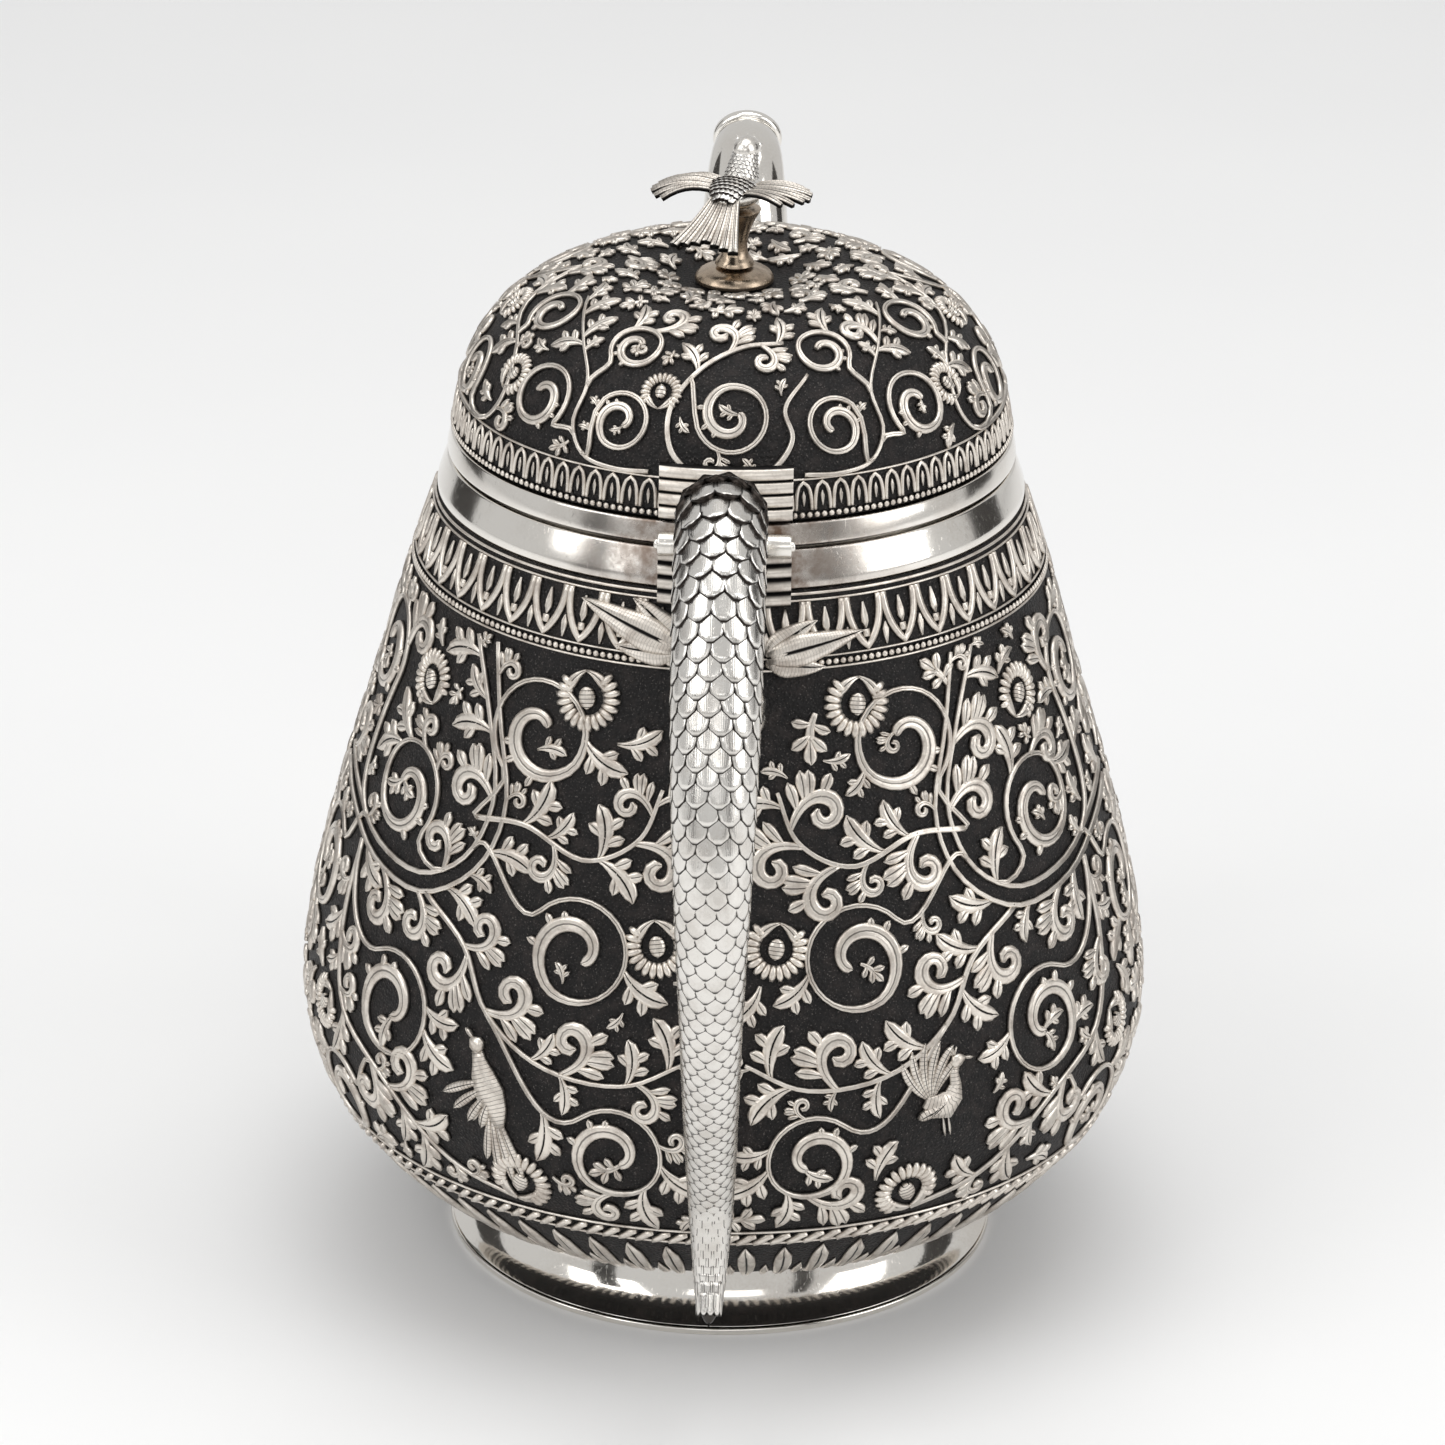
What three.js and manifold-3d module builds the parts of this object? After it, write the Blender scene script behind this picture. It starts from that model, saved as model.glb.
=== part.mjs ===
// A pear-shaped chased silver pot with a hinged lid, a bird finial, a scaled handle and a swan-neck spout.
// Millimetres, +Z up. The origin is on the pot's axis at the level of the foot's underside. The spout points
// along +Y and the handle along -Y; the lid hinges above the handle.
import * as THREE from "three";
import { mergeVertices } from "three/addons/utils/BufferGeometryUtils.js";
import Module from "manifold-3d";

const wasm = await Module();
wasm.setup();

// ---- Driving dimensions -------------------------------------------------------------------------------
const GAP = 0.3; // daylight left between pieces that are soldered or seated face to face
const FACETS = { large: 48, ring: 96, small: 20 }; // facets round the vessel, the hinge leaves and the pins

const BODY = { wall: 1.6, baseHeight: 9.2, mouthHeight: 120.5 };
const COLLAR = { lowRadius: 43.6, topRadius: 42.0, bore: 40.5, height: 5.4 };
const FOOT = { rimRadius: 42, topRadius: 36.4, height: 8.9, wall: 1.4, wireHeight: 1.0, wireWidth: 2.6 };
const LID = { wall: 1.4, seam: 0.6, bandRadius: 41.9, bandHeight: 3.2, flangeRadius: 39.6, flangeWall: 1.3,
  flangeDrop: 5.2, topHeight: 152.2 };
const HINGE = { y: -45.7, z: 128.5, width: 19, knuckles: 5, knuckleRadius: 1.7, bore: 0.88, pinRadius: 0.8,
  clearance: 0.25, reeds: 4, reedDepth: 0.55, leafThickness: 0.9 };
const HANDLE = { sides: 16, steps: 32, tipShare: 0.025 };
const SOCKET = { radius: 6.4, length: 8.5 };
const STRUT = { height: 47, wideRadius: 3.4, narrowRadius: 2.8 };
const SPOUT = { sides: 18, steps: 22, wall: 1.3, wayRadius: 8.4, wayTilt: 0.6, lipLength: 2, lipGrowth: 0.5 };
const CALYX = { thickness: 2.3, height: 66 };
const STRAINER = { thickness: 1.1, holeRadius: 0.9, rings: [[0, 1], [2.9, 6], [5.7, 12]] };
const BUTTON = { radius: 5.8, height: 2.2, bore: 1.5 };
const STEM = { tailRadius: 1.2, tailDrop: 5.5, height: 8.4 };
const BIRD = { yaw: -0.35, bladeThickness: 0.9 };

const collarLow = BODY.mouthHeight + GAP;
const seamLow = collarLow + COLLAR.height;
const lidLow = seamLow + LID.seam;
const bandTop = lidLow + LID.bandHeight;
const domeLow = bandTop + GAP;

// ---- Outlines, as [radius, height] --------------------------------------------------------------------
const BODY_OUTLINE = [[36.4, BODY.baseHeight], [46.6, 13.2], [55, 20.4], [60.6, 28.6], [63.3, 37.5],
  [63.5, 45], [62.1, 55], [59.6, 66], [56.4, 77.5], [52.9, 89], [49.3, 101.5], [46.6, 110.9],
  [43.4, BODY.mouthHeight]];
const LID_OUTLINE = [[41, domeLow], [40.5, 134], [39.4, 138], [37.3, 142.6], [33.9, 147], [28.6, 150.9],
  [21, 153.8], [14, 153.9], [9, 152.7], [6.4, LID.topHeight], [BUTTON.bore, LID.topHeight]];

// ---- Paths in the plane of symmetry, as [y, z, radius across, radius in the plane] --------------------
const HANDLE_PATH = [[-49.6, 107, 5.3, 5.3], [-54.9, 117.6, 5.9, 5.9], [-60.6, 130.6, 6.2, 6.2],
  [-69.6, 141.1, 6.35, 6.4], [-80.2, 137, 6.4, 6.4], [-88.6, 125.5, 6.3, 6.2], [-94.9, 110, 5.9, 5.8],
  [-96.5, 93, 5.2, 5.2], [-92.6, 76, 4.5, 4.5], [-86, 61, 4.1, 4.1], [-78.5, 48.5, 3.8, 3.8],
  [-73.2, 37.6, 3.4, 3.4], [-72.7, 28, 2.7, 2.7], [-76.6, 20.4, 1.9, 1.9]];
const SPOUT_PATH = [[52, 45, 12.8, 15.6], [61, 50.2, 12.3, 14.4], [70, 56.8, 11.1, 12.6], [78.4, 67.5, 9.9, 10.7],
  [83.4, 82, 9, 9.4], [85.2, 99, 8.4, 8.5], [85.6, 115.5, 7.9, 7.8], [86.6, 127.5, 7.3, 7.1],
  [89.6, 136, 6.6, 6.2], [94.4, 140.6, 5.9, 5.3], [100.3, 142, 5.1, 4.5]];

// ---- Solids -------------------------------------------------------------------------------------------
function solidOf(geometry) {
  const bare = geometry.clone();
  bare.deleteAttribute("normal");
  bare.deleteAttribute("uv");
  const merged = mergeVertices(bare, 1e-4);
  return new wasm.Manifold(new wasm.Mesh({
    numProp: 3,
    vertProperties: new Float32Array(merged.attributes.position.array),
    triVerts: new Uint32Array(merged.index.array),
  }));
}

function geometryOf(solid) {
  const mesh = solid.getMesh();
  const positions = new Float32Array(mesh.numVert * 3);
  for (let i = 0; i < mesh.numVert; i++)
    positions.set(mesh.vertProperties.subarray(i * mesh.numProp, i * mesh.numProp + 3), i * 3);
  const geometry = new THREE.BufferGeometry();
  geometry.setAttribute("position", new THREE.BufferAttribute(positions, 3));
  geometry.setIndex(new THREE.BufferAttribute(mesh.triVerts, 1));
  geometry.computeVertexNormals();
  return geometry;
}

// A closed outline of [radius, height] points, turned round +Z.
function turned(outline, facets = FACETS.large) {
  const area = outline.reduce((sum, [r, z], i) => {
    const [nextR, nextZ] = outline[(i + 1) % outline.length];
    return sum + r * nextZ - nextR * z;
  }, 0);
  const ordered = area > 0 ? outline : [...outline].reverse();
  const points = [...ordered, ordered[0]].map(([r, z]) => new THREE.Vector2(r, z));
  return new THREE.LatheGeometry(points, facets).rotateX(Math.PI / 2);
}

// Evenly spread points on a smooth curve through [radius, height] points.
function smooth(outline, count) {
  const curve = new THREE.SplineCurve(outline.map(([r, z]) => new THREE.Vector2(r, z)));
  return curve.getSpacedPoints(count).map((p) => [p.x, p.y]);
}

// An outline that rises, moved along its normals: outwards where the distance is positive.
function offset(outline, distance) {
  return outline.map(([r, z], i) => {
    const [r0, z0] = outline[Math.max(i - 1, 0)];
    const [r1, z1] = outline[Math.min(i + 1, outline.length - 1)];
    const length = Math.hypot(r1 - r0, z1 - z0);
    return [r + (distance * (z1 - z0)) / length, z - (distance * (r1 - r0)) / length];
  });
}

// A disc or, with a wall, a ring, extruded and then bent along a path with its own radii at each point.
function bentTube(path, { steps, sides, wall = 0, tipShare = 0 }) {
  const polygon = (radius) => Array.from({ length: sides }, (_, k) => {
    const turn = (2 * Math.PI * k) / sides;
    return new THREE.Vector2(radius * Math.cos(turn), radius * Math.sin(turn));
  });
  const section = new THREE.Shape(polygon(1));
  const holeMark = 0.5;
  if (wall > 0) section.holes.push(new THREE.Path(polygon(holeMark)));
  const geometry = new THREE.ExtrudeGeometry(section, { depth: 1, steps, bevelEnabled: false });
  const centre = new THREE.CatmullRomCurve3(path.map(([y, z]) => new THREE.Vector3(0, y, z)));
  const radii = new THREE.CatmullRomCurve3(path.map(([, , a, b]) => new THREE.Vector3(a, b, 0)));
  const at = geometry.attributes.position;
  for (let i = 0; i < at.count; i++) {
    const share = at.getZ(i);
    const reach = Math.hypot(at.getX(i), at.getY(i));
    const inward = reach < (1 + holeMark) / 2 ? wall : 0;
    const beyond = tipShare > 0 ? Math.max(0, (share - 1 + tipShare) / tipShare) : 0;
    const taper = Math.sqrt(1 - 0.9 * beyond * beyond);
    const middle = centre.getPoint(share);
    const along = centre.getTangent(share);
    const size = radii.getPoint(share);
    const across = (at.getX(i) / reach) * (size.x - inward) * taper;
    const inPlane = (at.getY(i) / reach) * (size.y - inward) * taper;
    at.setXYZ(i, across, middle.y + inPlane * along.z, middle.z - inPlane * along.y);
  }
  geometry.computeVertexNormals();
  return geometry;
}

function grown(path, margin) {
  return path.map(([y, z, a, b]) => [y, z, a + margin, b + margin]);
}

function rod(radius, length, facets = FACETS.small) {
  return new THREE.CylinderGeometry(radius, radius, length, facets).rotateZ(Math.PI / 2);
}

function boxFrom([x0, y0, z0], [x1, y1, z1]) {
  return new THREE.BoxGeometry(x1 - x0, y1 - y0, z1 - z0)
    .translate((x0 + x1) / 2, (y0 + y1) / 2, (z0 + z1) / 2);
}

function ellipsoid(radii, centre, facets = 14) {
  return solidOf(new THREE.SphereGeometry(1, facets, facets / 2).rotateX(Math.PI / 2)
    .scale(...radii).translate(...centre));
}

// ---- Scene --------------------------------------------------------------------------------------------
const pot = new THREE.Group();
const lidGroup = new THREE.Group();
pot.add(lidGroup);

const metal = (color, roughness) => new THREE.MeshStandardMaterial({ color, roughness, metalness: 1 });
const chased = metal(0x3a3836, 0.5);
const polished = metal(0xc9c4bc, 0.12);
const satin = metal(0xc2bdb4, 0.3);
const toned = metal(0xa8917a, 0.35);

function add(name, geometry, material, parent = pot) {
  const mesh = new THREE.Mesh(geometry, material);
  mesh.name = name;
  parent.add(mesh);
  return mesh;
}

// ---- Vessel -------------------------------------------------------------------------------------------
const wallOutside = smooth(BODY_OUTLINE, 15);
const wallInside = offset(wallOutside, -BODY.wall);
const mouthRadius = wallInside[wallInside.length - 1][0];
const bottomOutside = [[0, 12], [18, 11.3], [30, 9.7]];
const bottomInside = bottomOutside.map(([r, z]) => [r, z + BODY.wall]);
const shell = turned([...bottomOutside, ...wallOutside, [mouthRadius, BODY.mouthHeight],
  ...wallInside.slice(1, -1).reverse(), ...bottomInside.reverse()]);
const [, [rootY, rootZ]] = SPOUT_PATH;
const spoutWay = new THREE.CylinderGeometry(SPOUT.wayRadius, SPOUT.wayRadius, 30, FACETS.small)
  .rotateX(SPOUT.wayTilt)
  .translate(0, rootY, rootZ);
add("body_shell", geometryOf(solidOf(shell).subtract(solidOf(spoutWay))), chased);

add("collar_ring", turned([
  [COLLAR.bore, collarLow], [COLLAR.lowRadius, collarLow],
  [COLLAR.topRadius, seamLow], [COLLAR.bore, seamLow],
]), polished);

const flare = FOOT.rimRadius - FOOT.topRadius;
const footLow = FOOT.wireHeight + GAP;
const skirt = [[FOOT.topRadius, FOOT.height], [FOOT.topRadius + 0.12 * flare, 6.2],
  [FOOT.topRadius + 0.42 * flare, 3.6], [FOOT.rimRadius - 0.2, footLow]];
add("foot_ring", turned([...skirt, ...skirt.map(([r, z]) => [r - FOOT.wall, z]).reverse()]), polished);
add("foot_rim_wire", turned([
  [FOOT.rimRadius - FOOT.wireWidth, 0], [FOOT.rimRadius, 0],
  [FOOT.rimRadius, FOOT.wireHeight], [FOOT.rimRadius - FOOT.wireWidth, FOOT.wireHeight],
]), polished);

// What touches the vessel is cut by this slightly larger copy of it, which leaves the soldering gap.
const clearOfShell = solidOf(turned([[0, 0], ...offset(smooth(BODY_OUTLINE, 30), GAP), [0, BODY.mouthHeight]],
  FACETS.ring));

// ---- Spout --------------------------------------------------------------------------------------------
const spoutForm = { steps: SPOUT.steps, sides: SPOUT.sides };
add("spout_tube", geometryOf(
  solidOf(bentTube(SPOUT_PATH, { ...spoutForm, wall: SPOUT.wall })).subtract(clearOfShell)), polished);

// The leafy sleeve round the root stands off the tube by the soldering gap.
const sleeve = bentTube(grown(SPOUT_PATH, CALYX.thickness + GAP), { ...spoutForm, wall: CALYX.thickness });
const aboveCalyx = boxFrom([-30, 30, CALYX.height], [30, 120, 170]);
add("spout_root_calyx", geometryOf(
  solidOf(sleeve).subtract(clearOfShell).subtract(solidOf(aboveCalyx))), satin);

const [beforeTip, tip] = SPOUT_PATH.slice(-2);
const tipWay = new THREE.Vector2(tip[0] - beforeTip[0], tip[1] - beforeTip[1]).normalize();
const lipPath = [GAP, GAP + SPOUT.lipLength].map((reach) => [
  tip[0] + tipWay.x * reach, tip[1] + tipWay.y * reach, tip[2] + SPOUT.lipGrowth, tip[3] + SPOUT.lipGrowth]);
add("spout_lip_ring", bentTube(lipPath, { steps: 1, sides: SPOUT.sides, wall: SPOUT.wall + SPOUT.lipGrowth }),
  polished);

// The pierced disc sits in the round way through the wall and holds back the grounds.
const discRadius = SPOUT.wayRadius - GAP;
let strainer = solidOf(new THREE.CylinderGeometry(discRadius, discRadius, STRAINER.thickness, FACETS.small));
for (const [radius, count] of STRAINER.rings) {
  for (let k = 0; k < count; k++) {
    const turn = (2 * Math.PI * k) / count;
    const hole = new THREE.CylinderGeometry(STRAINER.holeRadius, STRAINER.holeRadius, 4, 6)
      .translate(radius * Math.cos(turn), 0, radius * Math.sin(turn));
    strainer = strainer.subtract(solidOf(hole));
  }
}
const strainerPlate = add("spout_strainer", geometryOf(strainer), satin);
strainerPlate.position.set(0, rootY - 1.2, rootZ - 0.8);
strainerPlate.rotation.x = SPOUT.wayTilt;

// ---- Handle -------------------------------------------------------------------------------------------
const handleForm = { steps: HANDLE.steps, sides: HANDLE.sides };
const handle = bentTube(HANDLE_PATH, { ...handleForm, tipShare: HANDLE.tipShare });
add("handle_tube", geometryOf(solidOf(handle).subtract(clearOfShell)), satin);
const clearOfHandle = solidOf(bentTube(grown(HANDLE_PATH, GAP), handleForm));

// The socket fills the wedge between the shell and the handle's upper end.
const [handleRoot, handleNext] = HANDLE_PATH;
const rootWay = new THREE.Vector2(handleNext[0] - handleRoot[0], handleNext[1] - handleRoot[1]).normalize();
const socketPath = [-SOCKET.length, -GAP].map((reach) => [
  handleRoot[0] + rootWay.x * reach, handleRoot[1] + rootWay.y * reach, SOCKET.radius, SOCKET.radius]);
const socket = solidOf(bentTube(socketPath, { steps: 2, sides: HANDLE.sides })).subtract(clearOfShell);
add("handle_root_socket", geometryOf(socket), satin);

// The strut that ties the handle's lower bend to the belly.
const strut = solidOf(new THREE.CylinderGeometry(STRUT.wideRadius, STRUT.narrowRadius, 20, FACETS.small)
  .translate(0, -68, STRUT.height))
  .subtract(clearOfShell)
  .subtract(clearOfHandle);
const towardsBody = (piece) => piece.boundingBox().max[1];
const [strutBesideBody] = strut.decompose().sort((a, b) => towardsBody(b) - towardsBody(a));
add("handle_lower_strut", geometryOf(strutBesideBody), satin);

// Two lobed leaves hug the shoulder on either side of the socket.
const leafLayer = solidOf(turned([
  ...offset(smooth(BODY_OUTLINE, 30), GAP + 0.1),
  ...offset(smooth(BODY_OUTLINE, 30), GAP + 2).reverse(),
], FACETS.ring));
const LEAVES = [
  { name: "handle_leaf_left", side: -1, base: [6.2, 111.4], length: 15.6, rise: 0.38 },
  { name: "handle_leaf_right", side: 1, base: [6.2, 110.8], length: 14.4, rise: 0.24 },
];
for (const { name, side, base, length, rise } of LEAVES) {
  const half = length * 0.32;
  const outline = new THREE.Shape();
  outline.moveTo(0, -0.5 * half);
  outline.quadraticCurveTo(0.25 * length, -1.1 * half, 0.5 * length, -0.85 * half);
  outline.lineTo(0.56 * length, -0.6 * half);
  outline.quadraticCurveTo(0.86 * length, -0.8 * half, length, 0);
  outline.quadraticCurveTo(0.8 * length, 0.75 * half, 0.58 * length, 0.62 * half);
  outline.lineTo(0.48 * length, 0.95 * half);
  outline.quadraticCurveTo(0.24 * length, 1.1 * half, 0, 0.5 * half);
  const prism = new THREE.ExtrudeGeometry(outline, { depth: 40, bevelEnabled: false, curveSegments: 4 })
    .rotateZ(rise)
    .translate(base[0], base[1], 0)
    .rotateX(Math.PI / 2)
    .translate(0, -20, 0);
  const right = solidOf(prism).intersect(leafLayer).subtract(clearOfHandle);
  const leaf = side > 0 ? right : right.mirror([1, 0, 0]);
  add(name, geometryOf(leaf), satin);
}

// ---- Hinge --------------------------------------------------------------------------------------------
// Both leaves are plates cut from a ring and reeded across; each stops short of the barrel.
function hingeLeaf([lowRadius, lowZ], [highRadius, highZ]) {
  const outside = [];
  for (let k = 0; k <= 2 * HINGE.reeds; k++) {
    const share = k / (2 * HINGE.reeds);
    const proud = HINGE.leafThickness + (k % 2) * HINGE.reedDepth;
    outside.push([lowRadius + (highRadius - lowRadius) * share + proud, lowZ + (highZ - lowZ) * share]);
  }
  const ring = turned([...outside, [highRadius, highZ], [lowRadius, lowZ]], FACETS.ring);
  const window = boxFrom([-HINGE.width / 2, -80, 0], [HINGE.width / 2, 0, 400]);
  const barrel = rod(HINGE.knuckleRadius + HINGE.clearance, HINGE.width + 4).translate(0, HINGE.y, HINGE.z);
  return geometryOf(solidOf(ring).intersect(solidOf(window)).subtract(solidOf(barrel)));
}
add("hinge_body_leaf", hingeLeaf([44.6, seamLow - 7.4], [43, seamLow + 0.9]), satin);
add("hinge_lid_leaf", hingeLeaf([42.5, lidLow + 0.7], [40, lidLow + 11.6]), satin, lidGroup);

const knuckleLength = (HINGE.width - HINGE.clearance * (HINGE.knuckles - 1)) / HINGE.knuckles;
const knuckle = solidOf(rod(HINGE.knuckleRadius, knuckleLength)).subtract(solidOf(rod(HINGE.bore, HINGE.width)));
for (let k = 0; k < HINGE.knuckles; k++) {
  const onLid = k % 2 === 1;
  const name = `hinge_knuckle_${onLid ? "lid" : "body"}_${Math.floor(k / 2) + 1}`;
  const mesh = add(name, geometryOf(knuckle), satin, onLid ? lidGroup : pot);
  mesh.position.set((k - (HINGE.knuckles - 1) / 2) * (knuckleLength + HINGE.clearance), HINGE.y, HINGE.z);
}
add("hinge_pin", rod(HINGE.pinRadius, HINGE.width + 1, 12), satin).position.set(0, HINGE.y, HINGE.z);

// ---- Lid ----------------------------------------------------------------------------------------------
const flangeGap = LID.flangeRadius + GAP;
add("lid_rim_band", turned([
  [LID.bandRadius + 0.2, lidLow], [LID.bandRadius - 0.4, bandTop], [flangeGap, bandTop], [flangeGap, lidLow],
]), polished, lidGroup);
const domeOutside = smooth(LID_OUTLINE, 13);
const domeInside = offset(domeOutside, -LID.wall);
const [domeFoot] = domeInside;
add("lid_dome", turned([
  ...domeOutside, [BUTTON.bore, LID.topHeight - LID.wall],
  ...domeInside.slice(1, -1).reverse(), [domeFoot[0], domeLow],
]), chased, lidGroup);
const flangeInner = LID.flangeRadius - LID.flangeWall;
add("lid_flange", turned([
  [flangeInner, lidLow - LID.flangeDrop], [LID.flangeRadius, lidLow - LID.flangeDrop],
  [LID.flangeRadius, bandTop], [flangeInner, bandTop],
]), satin, lidGroup);

// ---- Finial -------------------------------------------------------------------------------------------
const buttonLow = LID.topHeight + GAP;
const buttonTop = buttonLow + BUTTON.height;
add("finial_button", turned([
  [BUTTON.bore, buttonLow], [BUTTON.radius, buttonLow], [0.97 * BUTTON.radius, buttonLow + 0.8],
  [0.7 * BUTTON.radius, buttonLow + 1.9], [BUTTON.bore, buttonTop],
], FACETS.small), toned, lidGroup);
// The stem is a waisted pillar; its tail runs down through the button and the lid to the nut.
const stemLow = buttonTop + GAP;
const stemTop = stemLow + STEM.height;
add("finial_stem", turned([
  [0, LID.topHeight - STEM.tailDrop], [STEM.tailRadius, LID.topHeight - STEM.tailDrop],
  [STEM.tailRadius, stemLow], [2.9, stemLow], [2, stemLow + 1.6], [1.9, stemLow + 3.6],
  [2.6, stemLow + 6], [3.8, stemTop], [0, stemTop],
], FACETS.small), toned, lidGroup);
const lidUnderside = LID.topHeight - LID.wall - GAP;
const washerLow = lidUnderside - 0.8;
add("finial_washer", turned([
  [BUTTON.bore, washerLow], [4.5, washerLow], [4.5, lidUnderside], [BUTTON.bore, lidUnderside],
], FACETS.small), satin, lidGroup);
const nutTop = washerLow - GAP;
add("finial_nut", turned([
  [BUTTON.bore, nutTop - 2], [3.2, nutTop - 2], [3.2, nutTop], [BUTTON.bore, nutTop],
], 6), satin, lidGroup);

// The bird faces the spout with its head up, turned a little to the pot's right.
const bird = new THREE.Group();
bird.rotation.z = BIRD.yaw;
bird.position.z = stemTop + GAP;
lidGroup.add(bird);
const breast = { radii: [3.9, 5.4, 2.3], centre: [0, 0, 2.3] };
const neckPath = [[1.2, 2.4, 2.5, 2.4], [2.8, 4.8, 2.1, 2.2], [3.8, 7, 1.8, 1.9]];
const beak = new THREE.ConeGeometry(0.8, 3.2, 8).translate(0, 7.2, 7.4);
add("finial_bird_body", geometryOf(ellipsoid(breast.radii, breast.centre)
  .add(solidOf(bentTube(neckPath, { steps: 4, sides: 12 })))
  .add(ellipsoid([2, 2.5, 1.9], [0, 4.2, 7.6]))
  .add(solidOf(beak))), satin, bird);

// Each wing is a blade spread sideways, and the tail a notched fan; both stop short of the breast.
const clearOfBreast = ellipsoid(breast.radii.map((r) => r + GAP), breast.centre);
const wing = new THREE.Shape();
wing.moveTo(2.6, -2.9);
wing.quadraticCurveTo(7, -3.3, 10.6, -2.9);
wing.quadraticCurveTo(13.2, -1.6, 12.4, 0.6);
wing.quadraticCurveTo(8.6, 2.6, 2.6, 2.8);
wing.closePath();
const wingBlade = new THREE.ExtrudeGeometry(wing,
  { depth: BIRD.bladeThickness, bevelEnabled: false, curveSegments: 5 }).rotateY(0.06).translate(0, 0, 2.4);
const rightWing = solidOf(wingBlade).subtract(clearOfBreast);
add("finial_wing_right", geometryOf(rightWing), satin, bird);
add("finial_wing_left", geometryOf(rightWing.mirror([1, 0, 0])), satin, bird);
const fan = new THREE.Shape();
fan.moveTo(-1.7, 0);
fan.lineTo(-3.9, -11.4);
fan.lineTo(0.2, -9.9);
fan.lineTo(4.1, -11.2);
fan.lineTo(1.7, 0);
fan.closePath();
const tailBlade = new THREE.ExtrudeGeometry(fan, { depth: BIRD.bladeThickness, bevelEnabled: false })
  .rotateX(0.6)
  .translate(0, -3.4, 2.6);
add("finial_tail", geometryOf(solidOf(tailBlade).subtract(clearOfBreast)), satin, bird);

export default pot;
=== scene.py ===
"""A chased silver coffee pot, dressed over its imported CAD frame. Metres, +Z up, the spout along +Y.

Sizes in the script are in millimetres, as on a silversmith's drawing, and become metres in each mesh.
"""

import math
import random

import bmesh
import bpy
import numpy as np
from mathutils import Matrix, Vector


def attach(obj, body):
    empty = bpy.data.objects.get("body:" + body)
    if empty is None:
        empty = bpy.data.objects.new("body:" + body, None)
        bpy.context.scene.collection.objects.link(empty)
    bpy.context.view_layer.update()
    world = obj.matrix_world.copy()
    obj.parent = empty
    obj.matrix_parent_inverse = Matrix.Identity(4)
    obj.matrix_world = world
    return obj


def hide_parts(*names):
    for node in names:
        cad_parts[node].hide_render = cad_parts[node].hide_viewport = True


bl_info = {
    "name": "Chased Silver Coffee Pot",
    "version": (1, 0, 0),
    "blender": (4, 5, 0),
    "location": "View3D > Sidebar > Silver Pot",
    "description": "Builds the surfaces, chased ornament and finishes of a hinged silver coffee pot",
    "category": "Add Mesh",
}

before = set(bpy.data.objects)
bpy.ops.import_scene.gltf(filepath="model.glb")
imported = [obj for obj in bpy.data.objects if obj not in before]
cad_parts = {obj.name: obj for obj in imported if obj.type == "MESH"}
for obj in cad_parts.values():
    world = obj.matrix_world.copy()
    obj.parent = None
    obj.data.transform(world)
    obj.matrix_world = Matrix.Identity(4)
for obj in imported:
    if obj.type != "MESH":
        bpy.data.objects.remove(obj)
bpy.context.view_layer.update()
MM = 0.001
POT, LID_BODY = "pot", "lid"


# ---- Outlines and paths, in millimetres ----------------------------------------------------------------

GAP = 0.3  # the solder gap between neighbouring pieces
BODY_WALL = 1.6
LID_WALL = 1.4
SPOUT_WAY = {"radius": 8.4, "tilt": 0.6}  # the round hole that joins the spout to the vessel
BIRD = {"seat": 163.7, "yaw": -0.35}  # the height the finial bird sits at, and its turn

BODY_OUTLINE = ((36.4, 9.2), (46.6, 13.2), (55, 20.4), (60.6, 28.6), (63.3, 37.5), (63.5, 45), (62.1, 55),
                (59.6, 66), (56.4, 77.5), (52.9, 89), (49.3, 101.5), (46.6, 110.9), (43.4, 120.5))
LID_OUTLINE = ((41, 130.3), (40.5, 134), (39.4, 138), (37.3, 142.6), (33.9, 147), (28.6, 150.9),
               (21, 153.8), (14, 153.9), (9, 152.7), (6.4, 152.2), (1.5, 152.2))
HANDLE_PATH = ((-49.6, 107, 5.3, 5.3), (-54.9, 117.6, 5.9, 5.9), (-60.6, 130.6, 6.2, 6.2),
               (-69.6, 141.1, 6.35, 6.4), (-80.2, 137, 6.4, 6.4), (-88.6, 125.5, 6.3, 6.2),
               (-94.9, 110, 5.9, 5.8), (-96.5, 93, 5.2, 5.2), (-92.6, 76, 4.5, 4.5), (-86, 61, 4.1, 4.1),
               (-78.5, 48.5, 3.8, 3.8), (-73.2, 37.6, 3.4, 3.4), (-72.7, 28, 2.7, 2.7),
               (-76.6, 20.4, 1.9, 1.9))
SPOUT_PATH = ((52, 45, 12.8, 15.6), (61, 50.2, 12.3, 14.4), (70, 56.8, 11.1, 12.6), (78.4, 67.5, 9.9, 10.7),
              (83.4, 82, 9, 9.4), (85.2, 99, 8.4, 8.5), (85.6, 115.5, 7.9, 7.8), (86.6, 127.5, 7.3, 7.1),
              (89.6, 136, 6.6, 6.2), (94.4, 140.6, 5.9, 5.3), (100.3, 142, 5.1, 4.5))


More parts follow.
